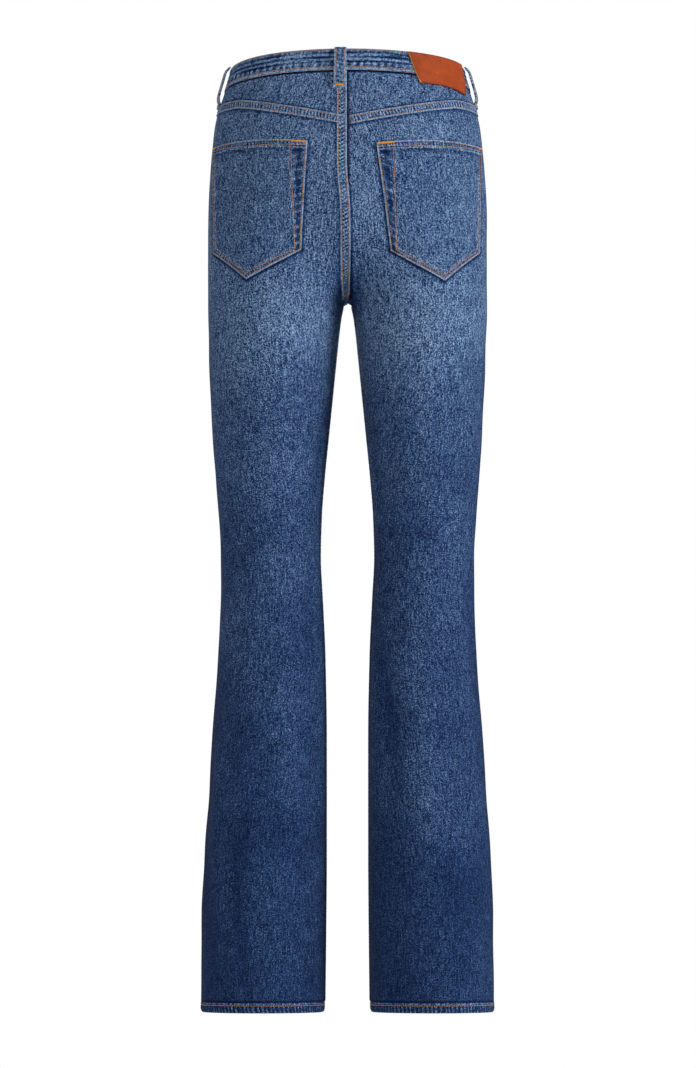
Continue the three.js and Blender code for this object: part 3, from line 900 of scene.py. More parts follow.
def sewn(name, layout, outside, inside, fade, slot, replaced=(), finishes=DENIM, roll=0.8):
    """A closed piece of cloth: a grid for its face and one for its reverse, joined at their edges."""
    rows, columns = layout.height.shape
    made = bmesh.new()
    bmesh.ops.create_grid(made, x_segments=columns - 1, y_segments=rows - 1, size=0.5)
    reverse = bmesh.ops.duplicate(made, geom=made.verts[:] + made.edges[:] + made.faces[:])["geom"]
    reverse_faces = [part for part in reverse if isinstance(part, bmesh.types.BMFace)]
    bmesh.ops.reverse_faces(made, faces=reverse_faces)
    for face in reverse_faces:
        face.material_index = 1
    mesh = mesh_of(name, made)
    inside_roll = 1 - np.minimum(1, layout.edge / roll)
    half = (outside - inside) / 2 * np.sqrt(1 - inside_roll**2)
    middle = (outside + inside) / 2
    points = np.stack([layout.on(layout.height, layout.turn, middle + part) for part in (half, -half)])
    mesh.vertices.foreach_set("co", (points * MM).astype(np.float32).ravel())
    set_values(mesh, "fade", np.stack([np.broadcast_to(fade, (rows, columns))] * 2))
    flat = np.stack([layout.across, layout.up], -1).reshape(-1, 2) * MM
    of_loop = np.zeros(len(mesh.loops), np.int32)
    mesh.loops.foreach_get("vertex_index", of_loop)
    places = mesh.uv_layers.new(name="Cloth").data
    places.foreach_set("uv", flat[of_loop % len(flat)].astype(np.float32).ravel())
    joined = bmesh.new()
    joined.from_mesh(mesh)
    border = [vertex for vertex in joined.verts if vertex.is_boundary]
    bmesh.ops.remove_doubles(joined, verts=border, dist=2e-6)
    joined.to_mesh(mesh)
    joined.free()
    take(object_of(name, mesh, finishes), replaced)


def stitch_shape():
    """One stitch: a short, round-ended length of thread along Z."""
    made = bmesh.new()
    bmesh.ops.create_uvsphere(made, u_segments=5, v_segments=4, radius=0.5)
    mesh = mesh_of("stitch", made)
    points = np.zeros(len(mesh.vertices) * 3)
    mesh.vertices.foreach_get("co", points)
    faces = [tuple(face.vertices) for face in mesh.polygons]
    bpy.data.meshes.remove(mesh)
    return points.reshape(-1, 3), faces


def trace(on, height, turn, lift):
    """A line on the garment: its points, its directions off the cloth and its distances along."""
    points = on(height, turn, lift)
    return points, on(height, turn, np.asarray(lift) + 1) - points, run(points, 0)


def read(values, along, at):
    """What the points or directions of a line are at a distance along it."""
    return np.array([np.interp(at, along, values[:, k]) for k in range(3)])


class Needlework:
    """Stitches that are sewn along lines and joined into one piece."""

    def __init__(self, seed):
        self.random = np.random.default_rng(seed)
        self.centres = []
        self.frames = []
        self.tones = []

    def stitch(self, centre, ahead, out, length, width, tone):
        ahead = unit(ahead)
        side = unit(np.cross(out, ahead))
        self.centres.append(centre)
        self.frames.append(np.array([side * width, np.cross(ahead, side) * width, ahead * length]))
        self.tones.append(tone + self.random.uniform(-0.2, 0.2))

    def line(self, on, height, turn, lift):
        """A row of stitches along a line on the garment, at a lift off its cloth."""
        size = sizes()
        pitch = size.stitch_pitch / MM
        length = size.stitch_length / MM
        width = size.thread_width / MM
        points, out, along = trace(on, height, turn, lift)
        starts = np.arange(pitch * 0.6, along[-1] - pitch * 0.4, pitch)
        starts = starts + self.random.uniform(-0.12, 0.12, len(starts))
        for start in starts:
            ahead = read(points, along, start + length / 2) - read(points, along, start - length / 2)
            up = read(out, along, start)
            ahead = ahead + up * self.random.uniform(-0.12, 0.12)
            self.stitch(read(points, along, start), ahead, up, length, width, 0.5)

    def lines(self, on, lines, lift):
        for height, turn in lines:
            self.line(on, height, turn, lift)

    def tack(self, on, height, turn, lift, width=2.5):
        """A bar tack: close stitches across a short line."""
        points, out, along = trace(on, height, turn, lift)
        thread = sizes().thread_width / MM
        for start in np.arange(0, along[-1], thread * 0.72):
            up = read(out, along, start)
            ahead = read(np.gradient(points, axis=0), along, start)
            slant = unit(np.cross(up, ahead)) + 0.12 * unit(ahead)
            length = width * self.random.uniform(0.9, 1.1)
            self.stitch(read(points, along, start), slant, up, length, thread, 0.6)

    def piece(self, name, finish="thread"):
        points, faces = stitch_shape()
        frames = np.array(self.frames)
        placed = np.einsum("pk,skx->spx", points, frames) + np.array(self.centres)[:, None]
        starts = range(0, len(frames) * len(points), len(points))
        copies = [tuple(start + corner for corner in face) for start in starts for face in faces]
        mesh = bpy.data.meshes.new(name)
        mesh.from_pydata((placed * MM).reshape(-1, 3), [], copies)
        set_values(mesh, "fade", np.repeat(np.array(self.tones), len(points)))
        take(object_of(name, mesh, [finish]))


def felled_seam(
    name, on, height, turn, seed, drift=0.0, shade=0.0, width=1.0, taper=1.0, pitch=3.9, slant=0.25
):
    """A folded seam laid along a line, with ridges drawn up between its two rows of stitches."""
    half = sizes().felled_width / MM / 2 * width
    across = (spaced(2 * half, 0.75, roll=0.7) * 2 - 1) * half
    line = half - 1.75
    offsets = (across[:, None] + drift) * taper
    layout = Layout(on, *beside(on, height, turn, offsets))
    from_middle = across[:, None]
    ridges = rungs(layout.across + slant * from_middle, pitch, seed)
    between = 1 - smoothstep(np.abs(from_middle), line - 1.3, line - 0.1)
    outer_ridge = bell(np.abs(from_middle) - (half - 0.7), 0.7)
    furrow = bell(np.abs(from_middle) - line, 0.6)
    pucker = sizes().pucker_depth / MM
    outside = 0.95 + 0.3 * outer_ridge - 0.4 * furrow + pucker * ridges * between
    own_turn, side = np.mod(np.abs(layout.turn), 2), RIGHT
    if on is on_waist:
        own_turn, side = half_of(layout.turn)
    fade = wear_and_shade(layout.height, own_turn, side) - shade
    # Pale worn edges and roping, and painted shade in the furrows of the two rows of stitches.
    fade = fade + 0.5 * outer_ridge + 0.42 * ridges * between - 0.38 * furrow + 0.03
    sewn(name, layout, outside, -0.5, fade, "denim_trim", finishes=FOLDED_DENIM, roll=0.7)
    rows = np.array([[-line], [line]])
    return list(zip(*beside(on, height, turn, (rows + drift) * taper)))


def leg_rows(pitch):
    """Heights of a panel's rows, closer together where the crotch bends."""
    quarter = math.pi / 2
    curve = 1 - np.cos(np.linspace(0, quarter, round(150 / pitch)))
    legs = np.linspace(HEM + 3, CROTCH - ARCH_DEPTH, 160)[:-1]
    arch = CROTCH - ARCH_DEPTH * (1 - np.cos(np.linspace(quarter, 0, 9)))
    seat = CROTCH + BACK_FORK_RISE * curve[1:]
    return np.concatenate([legs, arch, seat, np.linspace(seat[-1], PANEL_JOIN, round(52 / pitch))[1:]])


def front_top(turn):
    """The front panel's top edge: the scoop of the pocket, and then the waistband's seam."""
    along = np.clip((turn - SIDE_SEAM) / (SCOOP_END - SIDE_SEAM), 0, 1)
    scoop = lerp(SCOOP_LOW, band_seam(SCOOP_END), 1 - np.sqrt(1 - along**2))
    return np.where(turn < SCOOP_END, scoop, band_seam(turn))


def panel_layout(turns, top, side, pitch):
    """Rows from the hem up to the panel join, and on to its top edge."""
    rows = leg_rows(pitch)[:, None]
    turns = np.sort(side * turns)
    share = spaced(60, pitch, roll=0.8)[:, None]
    share = share[share[:, 0] > 0.03]
    above = lerp(PANEL_JOIN, top(np.abs(turns)), share)
    legs = rows + hem_sweep(np.abs(turns)) * (1 - smoothstep(rows, HEM + 12, HEM + 90))
    layout = Layout(on_half(side), np.vstack([legs, above]), turns)
    layout.up = layout.height - HEM
    if abs(turns[0]) > SIDE_SEAM + 0.1 or abs(turns[0]) < 0.1:
        layout.across = layout.across - layout.across[:, -1:]
    return layout


def from_line(x, z, start, end):
    """Distances from a straight line between two places seen from behind."""
    along = np.subtract(end, start)
    t = np.clip(((x - start[0]) * along[0] + (z - start[1]) * along[1]) / np.dot(along, along), 0, 1)
    return np.hypot(x - start[0] - t * along[0], z - start[1] - t * along[1])


def seat_drift(height):
    """How far the seat seam is folded over to the wearer's left."""
    return lerp(2.4, SEAT_FOLD, smoothstep(height, -190, -120))


def seam_shadow(layout, own_turn, side):
    """Painted shadow on the back: below the yoke seam's strip, round each pocket and beside the folded
    seat seam, with painted shade at the crotch.
    """
    seen = body_point(layout.height, own_turn)
    x, z = seen[..., 0], seen[..., 2]
    shadow = 0.24 * bell(yoke_seam(own_turn) - layout.height - 6.4, 1.8)
    corners = POCKETS["right" if side == RIGHT else "left"]
    edges = (
        ("top_in", "top_out", 0.12),
        ("top_in", "low_in", 0.28),
        ("low_in", "point", 0.42),
        ("point", "low_out", 0.42),
        ("low_out", "top_out", 0.2),
    )
    for start, end, depth in edges:
        away = from_line(x, z, corners[start], corners[end])
        shadow = np.maximum(shadow, depth * bell(away - 0.8, 2.0))
    above = layout.height > CROTCH
    past_fold = side * x + seat_drift(layout.height) - SEAT_FOLD
    shadow = np.maximum(shadow, 0.42 * bell(past_fold, 1.5) * above)
    shadow = np.maximum(shadow, 0.16 * bell(past_fold + 2 * SEAT_FOLD, 1.8) * above)
    # Painted shade round the crotch.
    return shadow + 0.22 * bell(np.hypot(x, z - CROTCH), 17)


def fly_shadow(layout, own_turn, side):
    """Painted shadow on the front just outside the fly's edges."""
    x = body_point(layout.height, own_turn)[..., 0]
    reach = FLY_EDGE_X if side == RIGHT else fly_stitched_x(layout.height)
    above = smoothstep(layout.height, FLY_BOTTOM - 3, FLY_BOTTOM + 3)
    return 0.3 * bell(x - reach - 1.4, 2.4) * above


def make_panels():
    back_turns = SIDE_SEAM * spaced(270, 2.7)
    front_turns = SIDE_SEAM + (2 - SIDE_SEAM) * spaced(258, 4.0)
    panels = (("back", back_turns, yoke_seam, 2.2), ("front", front_turns, front_top, 3.4))
    for side_name, side in SIDES.items():
        for face, turns, top, row_pitch in panels:
            layout = panel_layout(turns, top, side, row_pitch)
            own_turn = np.abs(layout.turn)
            from_side = np.abs(own_turn - SIDE_SEAM) * MM_A_TURN
            outside = 0.35 * bell(from_side - 5, 3.0) - 0.25 * bell(layout.top, 1.5)
            fade = wear_and_shade(layout.height, own_turn, side)
            if face == "back":
                fade = fade - seam_shadow(layout, own_turn, side)
            wavy = gathers(layout.height / 7, 2.5 + side)
            fade = fade + (0.10 + 0.08 * wavy) * bell(from_side - 5, 2.8) - 0.14 * bell(from_side, 2.0)
            if face == "front":
                fade = fade - fly_shadow(layout, own_turn, side)
                scoop = (own_turn < SCOOP_END) & (layout.height > PANEL_JOIN)
                rubbed = 0.22 * bell(layout.top - 1.0, 1.1) + 0.1 * bell(layout.top - 1.0, 2.0)
                fade = fade + scoop * rubbed
            name = f"{face}_panel_{side_name}"
            sewn(f"{name}_cloth", layout, outside, -CLOTH, fade, "denim", [name])


def make_yokes():
    for side_name, side in SIDES.items():
        turns = np.sort(side * SIDE_SEAM * spaced(250, 2.2))
        own = np.abs(turns)
        share = spaced(34, 1.1)[:, None]
        layout = Layout(on_half(side), lerp(yoke_seam(own), band_seam(own), share), turns)
        own_turn = np.abs(layout.turn)
        outside = -0.9 * bell(layout.top, 1.8)
        from_side = np.abs(own_turn - SIDE_SEAM) * MM_A_TURN
        x = MM_A_TURN * own_turn * side
        # Painted shadow under the waistband, along the yoke's top.
        fade = wear_and_shade(layout.height, own_turn, side) - 0.8 * bell(layout.top - 1.3, 1.7)
        fade = fade + 0.08 * bell(layout.top - 4.2, 1.4) - 0.1 * bell(from_side, 2.0)
        # Painted shadow above the yoke seam's folded strip.
        fade = fade - 0.36 * bell(layout.bottom - 5.9, 1.1)
        # Painted shadow beside the folded seat seam at the centre back.
        fade = fade - 0.4 * bell(x, 1.5) - 0.16 * bell(x + 2 * SEAT_FOLD, 1.8)
        name = f"yoke_{side_name}"
        sewn(f"{name}_cloth", layout, outside, -CLOTH, fade, "denim", [name])


def make_yoke_seams():
    threads = Needlework(3)
    for side_name, side in SIDES.items():
        turns = np.sort(side * np.linspace(0.012, SIDE_SEAM + 0.002, 260))
        lines = felled_seam(f"yoke_seam_{side_name}", on_waist, yoke_seam(turns), turns, 21 + side)
        threads.lines(on_waist, lines, SEAM_STITCH_LIFT)
    threads.piece("yoke_stitches")


def centre_line(rise, start, end, count):
    """Heights down a centre seam, closer together where it bends into the crotch."""
    up = (1 - np.cos(np.linspace(0, math.pi / 2, count))) * rise + CROTCH
    straight = np.arange(up[-1] + 1.2, start, 1.2)
    return np.concatenate([up[up > end], straight])


def make_centre_seams():
    threads = Needlework(5)
    back = centre_line(BACK_FORK_RISE, band_seam(0.0) - 0.5, CROTCH + 0.6, 150)
    front = centre_line(FRONT_FORK_RISE, FLY_BOTTOM + 6, CROTCH + 0.6, 120)
    seams = (
        ("seat_seam", back, 0, 31, seat_drift(back), 1.12),
        ("front_rise_seam", front, 2, 35, -3.0, 1.0),
    )
    for name, rise, turn, seed, drift, width in seams:
        taper = lerp(0.25, 1, smoothstep(rise, CROTCH, CROTCH + 5))
        shape = {"drift": drift, "width": width, "taper": taper, "pitch": 4.7, "slant": 0}
        lines = felled_seam(name, on_waist, rise, 0 * rise + turn, seed, **shape)
        seen = rise > CROTCH + 1.5
        lines = [(line_height[seen], line_turn[seen]) for line_height, line_turn in lines]
        threads.lines(on_waist, lines, SEAM_STITCH_LIFT)
    threads.piece("centre_stitches")


def make_inseams():
    threads = Needlework(7)
    height = np.arange(HEM + 10, CROTCH - 2, 2.1)
    for side_name, side in SIDES.items():
        name = f"inseam_{side_name}"
        lines = felled_seam(name, on_leg(side), height, 0 * height, 41 + side, width=0.78, shade=0.04)
        threads.lines(on_leg(side), lines, INSEAM_STITCH_LIFT)
    threads.piece("inseam_stitches")


def make_hems():
    threads = Needlework(9)
    hem = sizes().hem_height / MM
    for side_name, side in SIDES.items():
        turns = np.sort(np.linspace(0, 2, 430) * side)
        tall = hem + HEM_ABOVE_FOLD
        up = (spaced(tall, 0.8, roll=1.0) * tall)[:, None]
        layout = Layout(on_leg(side), HEM + up + hem_sweep(np.abs(turns)), turns)
        across = layout.across - layout.across[:, -1:] / 2
        ridges = rungs(across + 0.15 * up, 5.2, 51 + side)
        closing = smoothstep(np.abs(across), 0, 6)
        folded = 1 - smoothstep(up, hem - 2.0, hem - 0.4)
        stitched = bell(up - (hem - HEM_ROW_IN), 0.6)
        ridge = bell(up - (hem + 1.0), 0.9)
        ends = smoothstep(np.minimum(layout.left, layout.right), 0.0, 5.0)
        outside = 0.35 * (1 - smoothstep(up, hem, hem + 3)) + 0.25 * ridge - 0.35 * stitched
        outside = outside + 0.32 * ridges * folded * closing * ends + 0.04
        inside = -CLOTH - 0.15 - 1.35 * (1 - smoothstep(up, hem - 0.6, hem + 0.4))
        own_turn = np.mod(np.abs(layout.turn), 2)
        fade = wear_and_shade(layout.height, own_turn, side)
        # Pale worn fold ridge and roping, and painted shade in the furrow of the row of stitches.
        fade = fade + 0.32 * ridge + 0.22 * ridges * folded * ends - 0.26 * stitched + 0.01 * folded
        # Painted shade on the leg just above the hem's top edge; the pale line at the bottom fold is
        # wear.
        fade = fade - 0.22 * bell(up - (hem + 3.6), 1.2) + 0.1 * bell(up - 0.6, 0.7)
        layout.edge = np.minimum(layout.bottom, layout.top)
        sewn(f"hem_{side_name}", layout, outside, inside, fade, "denim_trim", roll=1.0)
        line = hem_sweep(np.abs(turns)) + HEM + hem - HEM_ROW_IN
        threads.line(on_leg(side), line, turns, lift=0.36)
    threads.piece("hem_stitches")


def pocket_layout(side, top_in, top_out, low_in, low_out, point):
    """A pointed patch pocket, laid between its corners."""
    middle = (point[0] - low_in[0]) / (low_out[0] - low_in[0])
    u = spaced(124, 1.35)
    u = np.sort(np.append(u[np.abs(u - middle) > 0.004], middle))
    v = spaced(150, 1.4)[:, None]
    low = np.interp(u, [0, middle, 1], [low_in[1], point[1], low_out[1]])
    high = lerp(top_in[1], top_out[1], u) + POCKET_TOP_BOW * np.sin(math.pi * u)
    height = lerp(low, high, v)
    turn = turn_at(lerp(lerp(low_in[0], low_out[0], u), lerp(top_in[0], top_out[0], u), v), height)
    if side == LEFT:
        height, turn = height[:, ::-1], -turn[:, ::-1]
    layout = Layout(on_half(side), height, turn)
    layout.inner, layout.outer = (layout.left, layout.right)[::side]
    layout.low = layout.bottom * POCKET_POINT_SLOPE
    layout.edge = np.minimum.reduce([layout.left, layout.right, layout.top, layout.low])
    return layout


def read_pocket(layout, u, v):
    """The height and turn of a place on a pocket, by its shares of the way out and up."""
    rows, columns = layout.height.shape
    if layout.turn[0, 0] < 0:
        u = 1 - u
    widths = layout.across[rows // 2] / layout.across[rows // 2, -1]
    heights = layout.up[:, columns // 2] / layout.up[-1, columns // 2]
    i = np.interp(v, heights, np.arange(rows))
    j = np.interp(u, widths, np.arange(columns))
    i0 = np.clip(np.floor(i).astype(int), 0, rows - 2)
    j0 = np.clip(np.floor(j).astype(int), 0, columns - 2)
    s, t = i - i0, j - j0
    found = []
    for grid in (layout.height, layout.turn):
        low = lerp(grid[i0, j0], grid[i0, j0 + 1], t)
        found.append(lerp(low, lerp(grid[i0 + 1, j0], grid[i0 + 1, j0 + 1], t), s))
    return found


def make_back_pockets():
    for side_name, side in SIDES.items():
        layout = pocket_layout(side, **POCKETS[side_name])
        inner, outer, top, low = layout.inner, layout.outer, layout.top, layout.low
        band = lerp(*POCKET_FLAP, layout.up / layout.up[-1:])
        under_hem = smoothstep(top, POCKET_HEM - 0.6, POCKET_HEM + 0.9)
        past_flap = smoothstep(inner, band - 0.8, band + 0.8)
        near = np.minimum(outer, low)
        past_turned = smoothstep(near, POCKET_TURNED - 0.4, POCKET_TURNED + 1.0)
        in_hem = 1 - under_hem
        in_flap = (1 - past_flap) * under_hem
        main = past_flap * under_hem
        in_turned = (1 - past_turned) * main
        field = past_turned * main
        furrows = bell(layout.edge - POCKET_STITCH_IN, 0.55) + bell(top - POCKET_HEM + 1.6, 0.6)
        furrows = furrows + bell(near - POCKET_TURNED + 0.7, 0.6) * main
        furrows = furrows + bell(inner - band + 0.3, 0.6) * under_hem
        along_side = rungs(layout.up + 0.15 * layout.across, 9.5, 61 + side)
        along_top = rungs(layout.across + 0.2 * layout.up, 3.9, 64 + side)
        along_low = rungs(layout.across + 0.5 * layout.up, 3.6, 67 + side)
        blotch = gathers(layout.up / 6.5, layout.across / 30 + side)
        centre_of_flap = bell((inner - band / 2) / band, 0.27) * in_flap
        inside_edge = smoothstep(layout.edge, POCKET_STITCH_IN - 0.2, POCKET_STITCH_IN + 1)
        ridges = along_top * in_hem * inside_edge
        low_ridges = along_low * in_turned * inside_edge
        outside = POCKET_OUT + 0.25 * in_hem + 0.15 * in_turned + 0.5 * field * smoothstep(near, 6, 40)
        outside = outside - 0.4 * furrows + 0.22 * ridges + 0.2 * low_ridges
        outside = outside + 0.12 * along_side * in_flap * inside_edge - 0.25 * centre_of_flap
        own_turn = np.abs(layout.turn)
        fade = wear_and_shade(layout.height, own_turn, side) - 0.035
        # Pale worn edges, and painted shade in the furrows where the rows are sewn.
        fade = fade + 0.55 * bell(layout.edge - 0.5, 0.75) - 0.36 * furrows
        fade = fade + 0.32 * ridges + 0.4 * low_ridges
        fade = fade - (0.26 + 0.14 * blotch) * centre_of_flap
        fade = fade + 0.26 * np.maximum(along_side, 0) * in_flap * inside_edge
        fade = fade + 0.36 * bell(top - POCKET_HEM - 0.3, 0.9)
        # Painted shadow under the pocket's hem band.
        fade = fade - 0.13 * bell(top - POCKET_HEM - 3.5, 2.0)
        fade = fade + 0.28 * bell(near - POCKET_TURNED - 0.6, 1.0) * field
        fade = fade + 0.12 * bell(inner - band - 1.2, 1.0) * under_hem
        name = f"back_pocket_{side_name}"
        sewn(f"{name}_cloth", layout, outside, POCKET_IN, fade, "denim", [name], roll=0.9)
        sew_back_pocket(name, layout, side)


def sew_back_pocket(name, layout, side):
    """Double rows of stitches round a back pocket, and bar tacks at its top corners."""
    on = on_half(side)
    rows, columns = layout.height.shape
    width = layout.across[rows // 2, -1]
    tall = layout.up[-1, columns // 2]
    u = np.linspace(0, 1, 120)
    v = np.linspace(0, 1, 90)
    width_at = np.interp(v, np.linspace(0, 1, rows), layout.across[:, -1])
    lift = POCKET_OUT - 0.12
    inset = POCKET_STITCH_IN
    turned = POCKET_TURNED - 0.7
    whole = v * 0.985 + 0.004
    below_hem = np.maximum(v * (1 - POCKET_HEM / tall), 0.04)
    between = lerp(inset / width, 1 - inset / width, u)
    inside = lerp((POCKET_FLAP[0] - 0.2) / width, 1 - turned / width, u)
    lines = (
        (inset / width_at, whole, 0),
        (1 - inset / width_at, whole, 0),
        ((lerp(*POCKET_FLAP, v) - 0.3) / width_at, v * 0.95 + 0.035, 0),
        (1 - turned / width_at, below_hem, 0),
        (between, 1 - inset / tall, 0),
        (between, 1 - (POCKET_HEM - 1.6) / tall, 0.2),
        (between, inset / POCKET_POINT_SLOPE / tall, 0),
        (inside, turned / POCKET_POINT_SLOPE / tall, 0),
    )
    threads = Needlework(70 + side)
    for across, up, more in lines:
        threads.line(on, *read_pocket(layout, across, up), lift + more)
    threads.piece(f"{name}_stitches")
    tacks = Needlework(75 + side)
    inner_tack = np.linspace(inset / width, 19.0 / width, 12)
    outer_tack = np.linspace(1 - 8.0 / width, 1 - 1.6 / width, 8)
    for across in (inner_tack, outer_tack):
        tacks.tack(on, *read_pocket(layout, across, 1 - inset / tall), POCKET_OUT + 0.35)
    tacks.piece(f"{name}_tacks", "tack")


def make_waistband():
    seam = band_seam(2.0)
    step_end, step_start = (2 - turn_out_to(x, seam) for x in BAND_STEP_X)
    start = -2 - turn_out_to(BAND_OVER_X, seam)
    end = 2 + turn_out_to(BAND_UNDER_X, seam)
    turns = lerp(start, end, spaced(905, 1.9, roll=1.2))
    share = spaced(BAND_HEIGHT, 0.95, roll=1.3)[:, None]
    own, side = half_of(turns)
    layout = Layout(on_waist, lerp(band_seam(own), waist_top(own), share), turns)
    up = layout.bottom
    along = layout.across.mean(0)
    tuck = BAND_LAP * smoothstep(turns, step_start, step_end)
    wander = 2.4 * gathers(along / 75, 3.5) + 1.2 * gathers(along / 21, 7.5)
    roped = np.sin(2 * math.pi * up / BAND_FOLD + wander)
    folds = 0.7 * roped + 0.7 * gathers(along / 30, up / 3.0 + 40)
    free = smoothstep(up, 5.0, 8.5) * smoothstep(layout.top, 1.5, 4)
    ladder = rungs(along, 8.6, 81) * bell(up - 6.4, 2.8)
    furrows = bell(up - BAND_ROW_LOW, 0.55) + 0.8 * bell(layout.top - BAND_ROW_TOP, 0.5)
    ridge = bell(up - 1.1, 0.9)
    outside = BAND_OUT + 0.32 * folds * free + 0.22 * ladder + 0.15 * ridge - 0.35 * furrows - tuck
    fade = wear_and_shade(layout.height, own, side) + 0.33 * folds * free + 0.4 * ladder
    # Painted shade in the furrows of the two rows of stitches; the pale ridge and top edge are wear.
    fade = fade + 0.5 * ridge - 0.36 * furrows + 0.16 * bell(layout.top - 0.5, 0.8) - 0.01
    laid = {"finishes": FOLDED_DENIM, "roll": 1.3}
    inside = BAND_IN - tuck
    sewn("waistband_cloth", layout, outside, inside, fade, "denim_trim", ["waistband"], **laid)
    threads = Needlework(82)
    turns = turns[(turns > start + 0.012) & (turns < 2 - turn_out_to(BAND_OVER_X + 2, seam))]
    low = band_seam(half_of(turns)[0])
    lift = BAND_OUT - 0.08
    rows = (low + BAND_ROW_LOW, low + BAND_HEIGHT - BAND_ROW_TOP)
    for row in rows:
        threads.line(on_waist, row, turns, lift - BAND_LAP * smoothstep(turns, step_start, step_end))
    threads.line(on_waist, np.linspace(rows[0][0], rows[1][0], 20), start + 0.013, lift)
    threads.piece("waistband_stitches")


def make_belt_loops():
    standoff = Profile(LOOP_PROFILE)
    drops = lerp(LOOP_END, LOOP_TOP, spaced(52, 1.0, roll=1.0))[:, None]
    across = spaced(LOOP_WIDTH, 0.9, roll=1.0) * 2 - 1
    from_middle = np.abs(across) * LOOP_WIDTH / 2
    furrow = bell(from_middle - LOOP_ROW_OUT, 0.55)
    inner = 1 - smoothstep(from_middle, 3.2, 4.4)
    row_drops = np.linspace(LOOP_END - 1, 0.6, 60)
    laid = {"finishes": FOLDED_DENIM, "roll": 1.0}
    threads = Needlework(91)
    tacks = Needlework(92)
    for index, (name, turn) in enumerate(LOOP_TURNS.items()):
        top = float(waist_top(abs(turn)))
        height = top - drops
        ends = on_waist(height[-20], np.array([turn - 0.02, turn + 0.02]))
        half = LOOP_WIDTH / 2 * 0.04 / np.linalg.norm(ends[1] - ends[0])
        widen = 1 + 0.10 * smoothstep(drops, 41, 44)
        layout = Layout(on_waist, height, turn + half * across * widen)
        ridges = rungs(layout.up + 0.3 * layout.across, 5.1, 95 + index) * inner
        lift = standoff(drops)
        outside = lift + LOOP_CLOTH - 0.35 * furrow + 0.2 * ridges
        outside = outside - 0.5 * bell(drops - LOOP_TACK_DROP, 0.9) * inner
        fade = wear_and_shade(layout.height, *half_of(layout.turn))
        # Pale worn folds at the loop's edges, and painted shade in the furrows of its rows.
        fade = fade + 0.42 * bell(from_middle - 6.2, 0.9) - 0.25 * furrow
        fade = fade + 0.2 * ridges + 0.04 + 0.3 * bell(drops - LOOP_END + 0.8, 1.0)
        sewn(f"{name}_cloth", layout, outside, lift, fade, "denim_trim", [name], **laid)
        for edge in (-1, 1):
            row_turn = turn + edge * half * LOOP_ROW_OUT / (LOOP_WIDTH / 2)
            threads.line(on_waist, top - row_drops, row_turn, standoff(row_drops) + LOOP_CLOTH - 0.12)
        tack_turn = turn + half * np.linspace(-0.66, 0.66, 10)
        tack_lift = float(standoff(LOOP_TACK_DROP)) + LOOP_CLOTH + 0.1
        tacks.tack(on_waist, top - LOOP_TACK_DROP, tack_turn, tack_lift)
    threads.piece("belt_loop_stitches")
    tacks.piece("belt_loop_tacks", "tack")


def make_leather_patch():
    u = spaced(72, 1.0, roll=0.7)
    v = spaced(37, 1.0, roll=0.7)[:, None]
    top = [turn_at(x, 0.0) for x in PATCH_TOP_X]
    low = [turn_at(x, height) for x, height in zip(PATCH_LOW_X, PATCH_LOW_HEIGHTS)]
    turn = lerp(lerp(low[0], low[1], u), lerp(top[0], top[1], u), v)
    turn = turn + PATCH_BULGE * u * np.sin(math.pi * v)
    low_height = lerp(*PATCH_LOW_HEIGHTS, u) + PATCH_BOW * np.sin(math.pi * u)
    height = lerp(low_height, waist_top(turn) - 0.6, v)
    layout = Layout(on_waist, height, turn)
    pressed = bell(layout.edge - 2.3, 0.45)
    outside = PATCH_FACE - 0.22 * pressed + 0.25 * gathers(layout.across / 22, layout.up / 16 + 3)
    tone = 0.6 - 0.45 * bell(layout.edge, 1.1) - 0.26 * pressed
    tone = tone + 0.1 * gathers(layout.across / 12, layout.up / 9)
    tone = np.where(layout.left < 0.75, 1.6, tone)
    laid = {"finishes": ("leather", "leather"), "roll": 0.7}
    name = "leather_patch"
    sewn(f"{name}_hide", layout, outside, PATCH_BACK, tone, "leather", [name], **laid)


def make_pocket_facings():
    threads = Needlework(101)
    outside = -CLOTH - FACING_GAP
    mouth = lerp(SIDE_SEAM + 0.002, SCOOP_END - 0.004, np.sin(np.linspace(0, math.pi / 2, 140)))
    for side_name, side in SIDES.items():
        on = on_half(side)
        turns = np.sort(side * lerp(SIDE_SEAM - 0.01, SCOOP_END + 0.09, spaced(120, 3.0)))
        top = band_seam(np.abs(turns)) + FACING_RISE
        layout = Layout(on, lerp(FACING_BOTTOM, top, spaced(82, 3.0)[:, None]), turns)
        own_turn = np.abs(layout.turn)
        fade = wear_and_shade(layout.height, own_turn, side) - 0.13 - 0.2 * bell(layout.top, 1.3)
        # Painted shade on the facing along the scoop's edge, which overhangs it.
        fade = fade - 0.24 * bell(layout.height - front_top(own_turn), 5.0)
        name = f"front_pocket_facing_{side_name}"
        sewn(f"{name}_cloth", layout, outside, outside - FACING_CLOTH, fade, "denim", [name])
        for inset in MOUTH_ROWS_IN:
            turns = np.sort(side * mouth)
            height, turn = beside(on, front_top(np.abs(turns)), turns, np.array([[-inset]]))
            keep = (np.abs(turn) > SIDE_SEAM + 0.008) & (height < band_seam(np.abs(turn)))
            threads.line(on, height[keep], turn[keep], 0.18)
    threads.piece("front_pocket_stitches")


def fly_stitched_x(height):
    """How far onto the wearer's left the fly reaches at a height."""
    bend = np.minimum(0, height - FLY_BEND_HEIGHT) / (FLY_BOTTOM - FLY_BEND_HEIGHT)
    return np.maximum(3.0, FLY_WIDTH * np.sqrt(1 - np.clip(bend, 0, 1) ** 2))


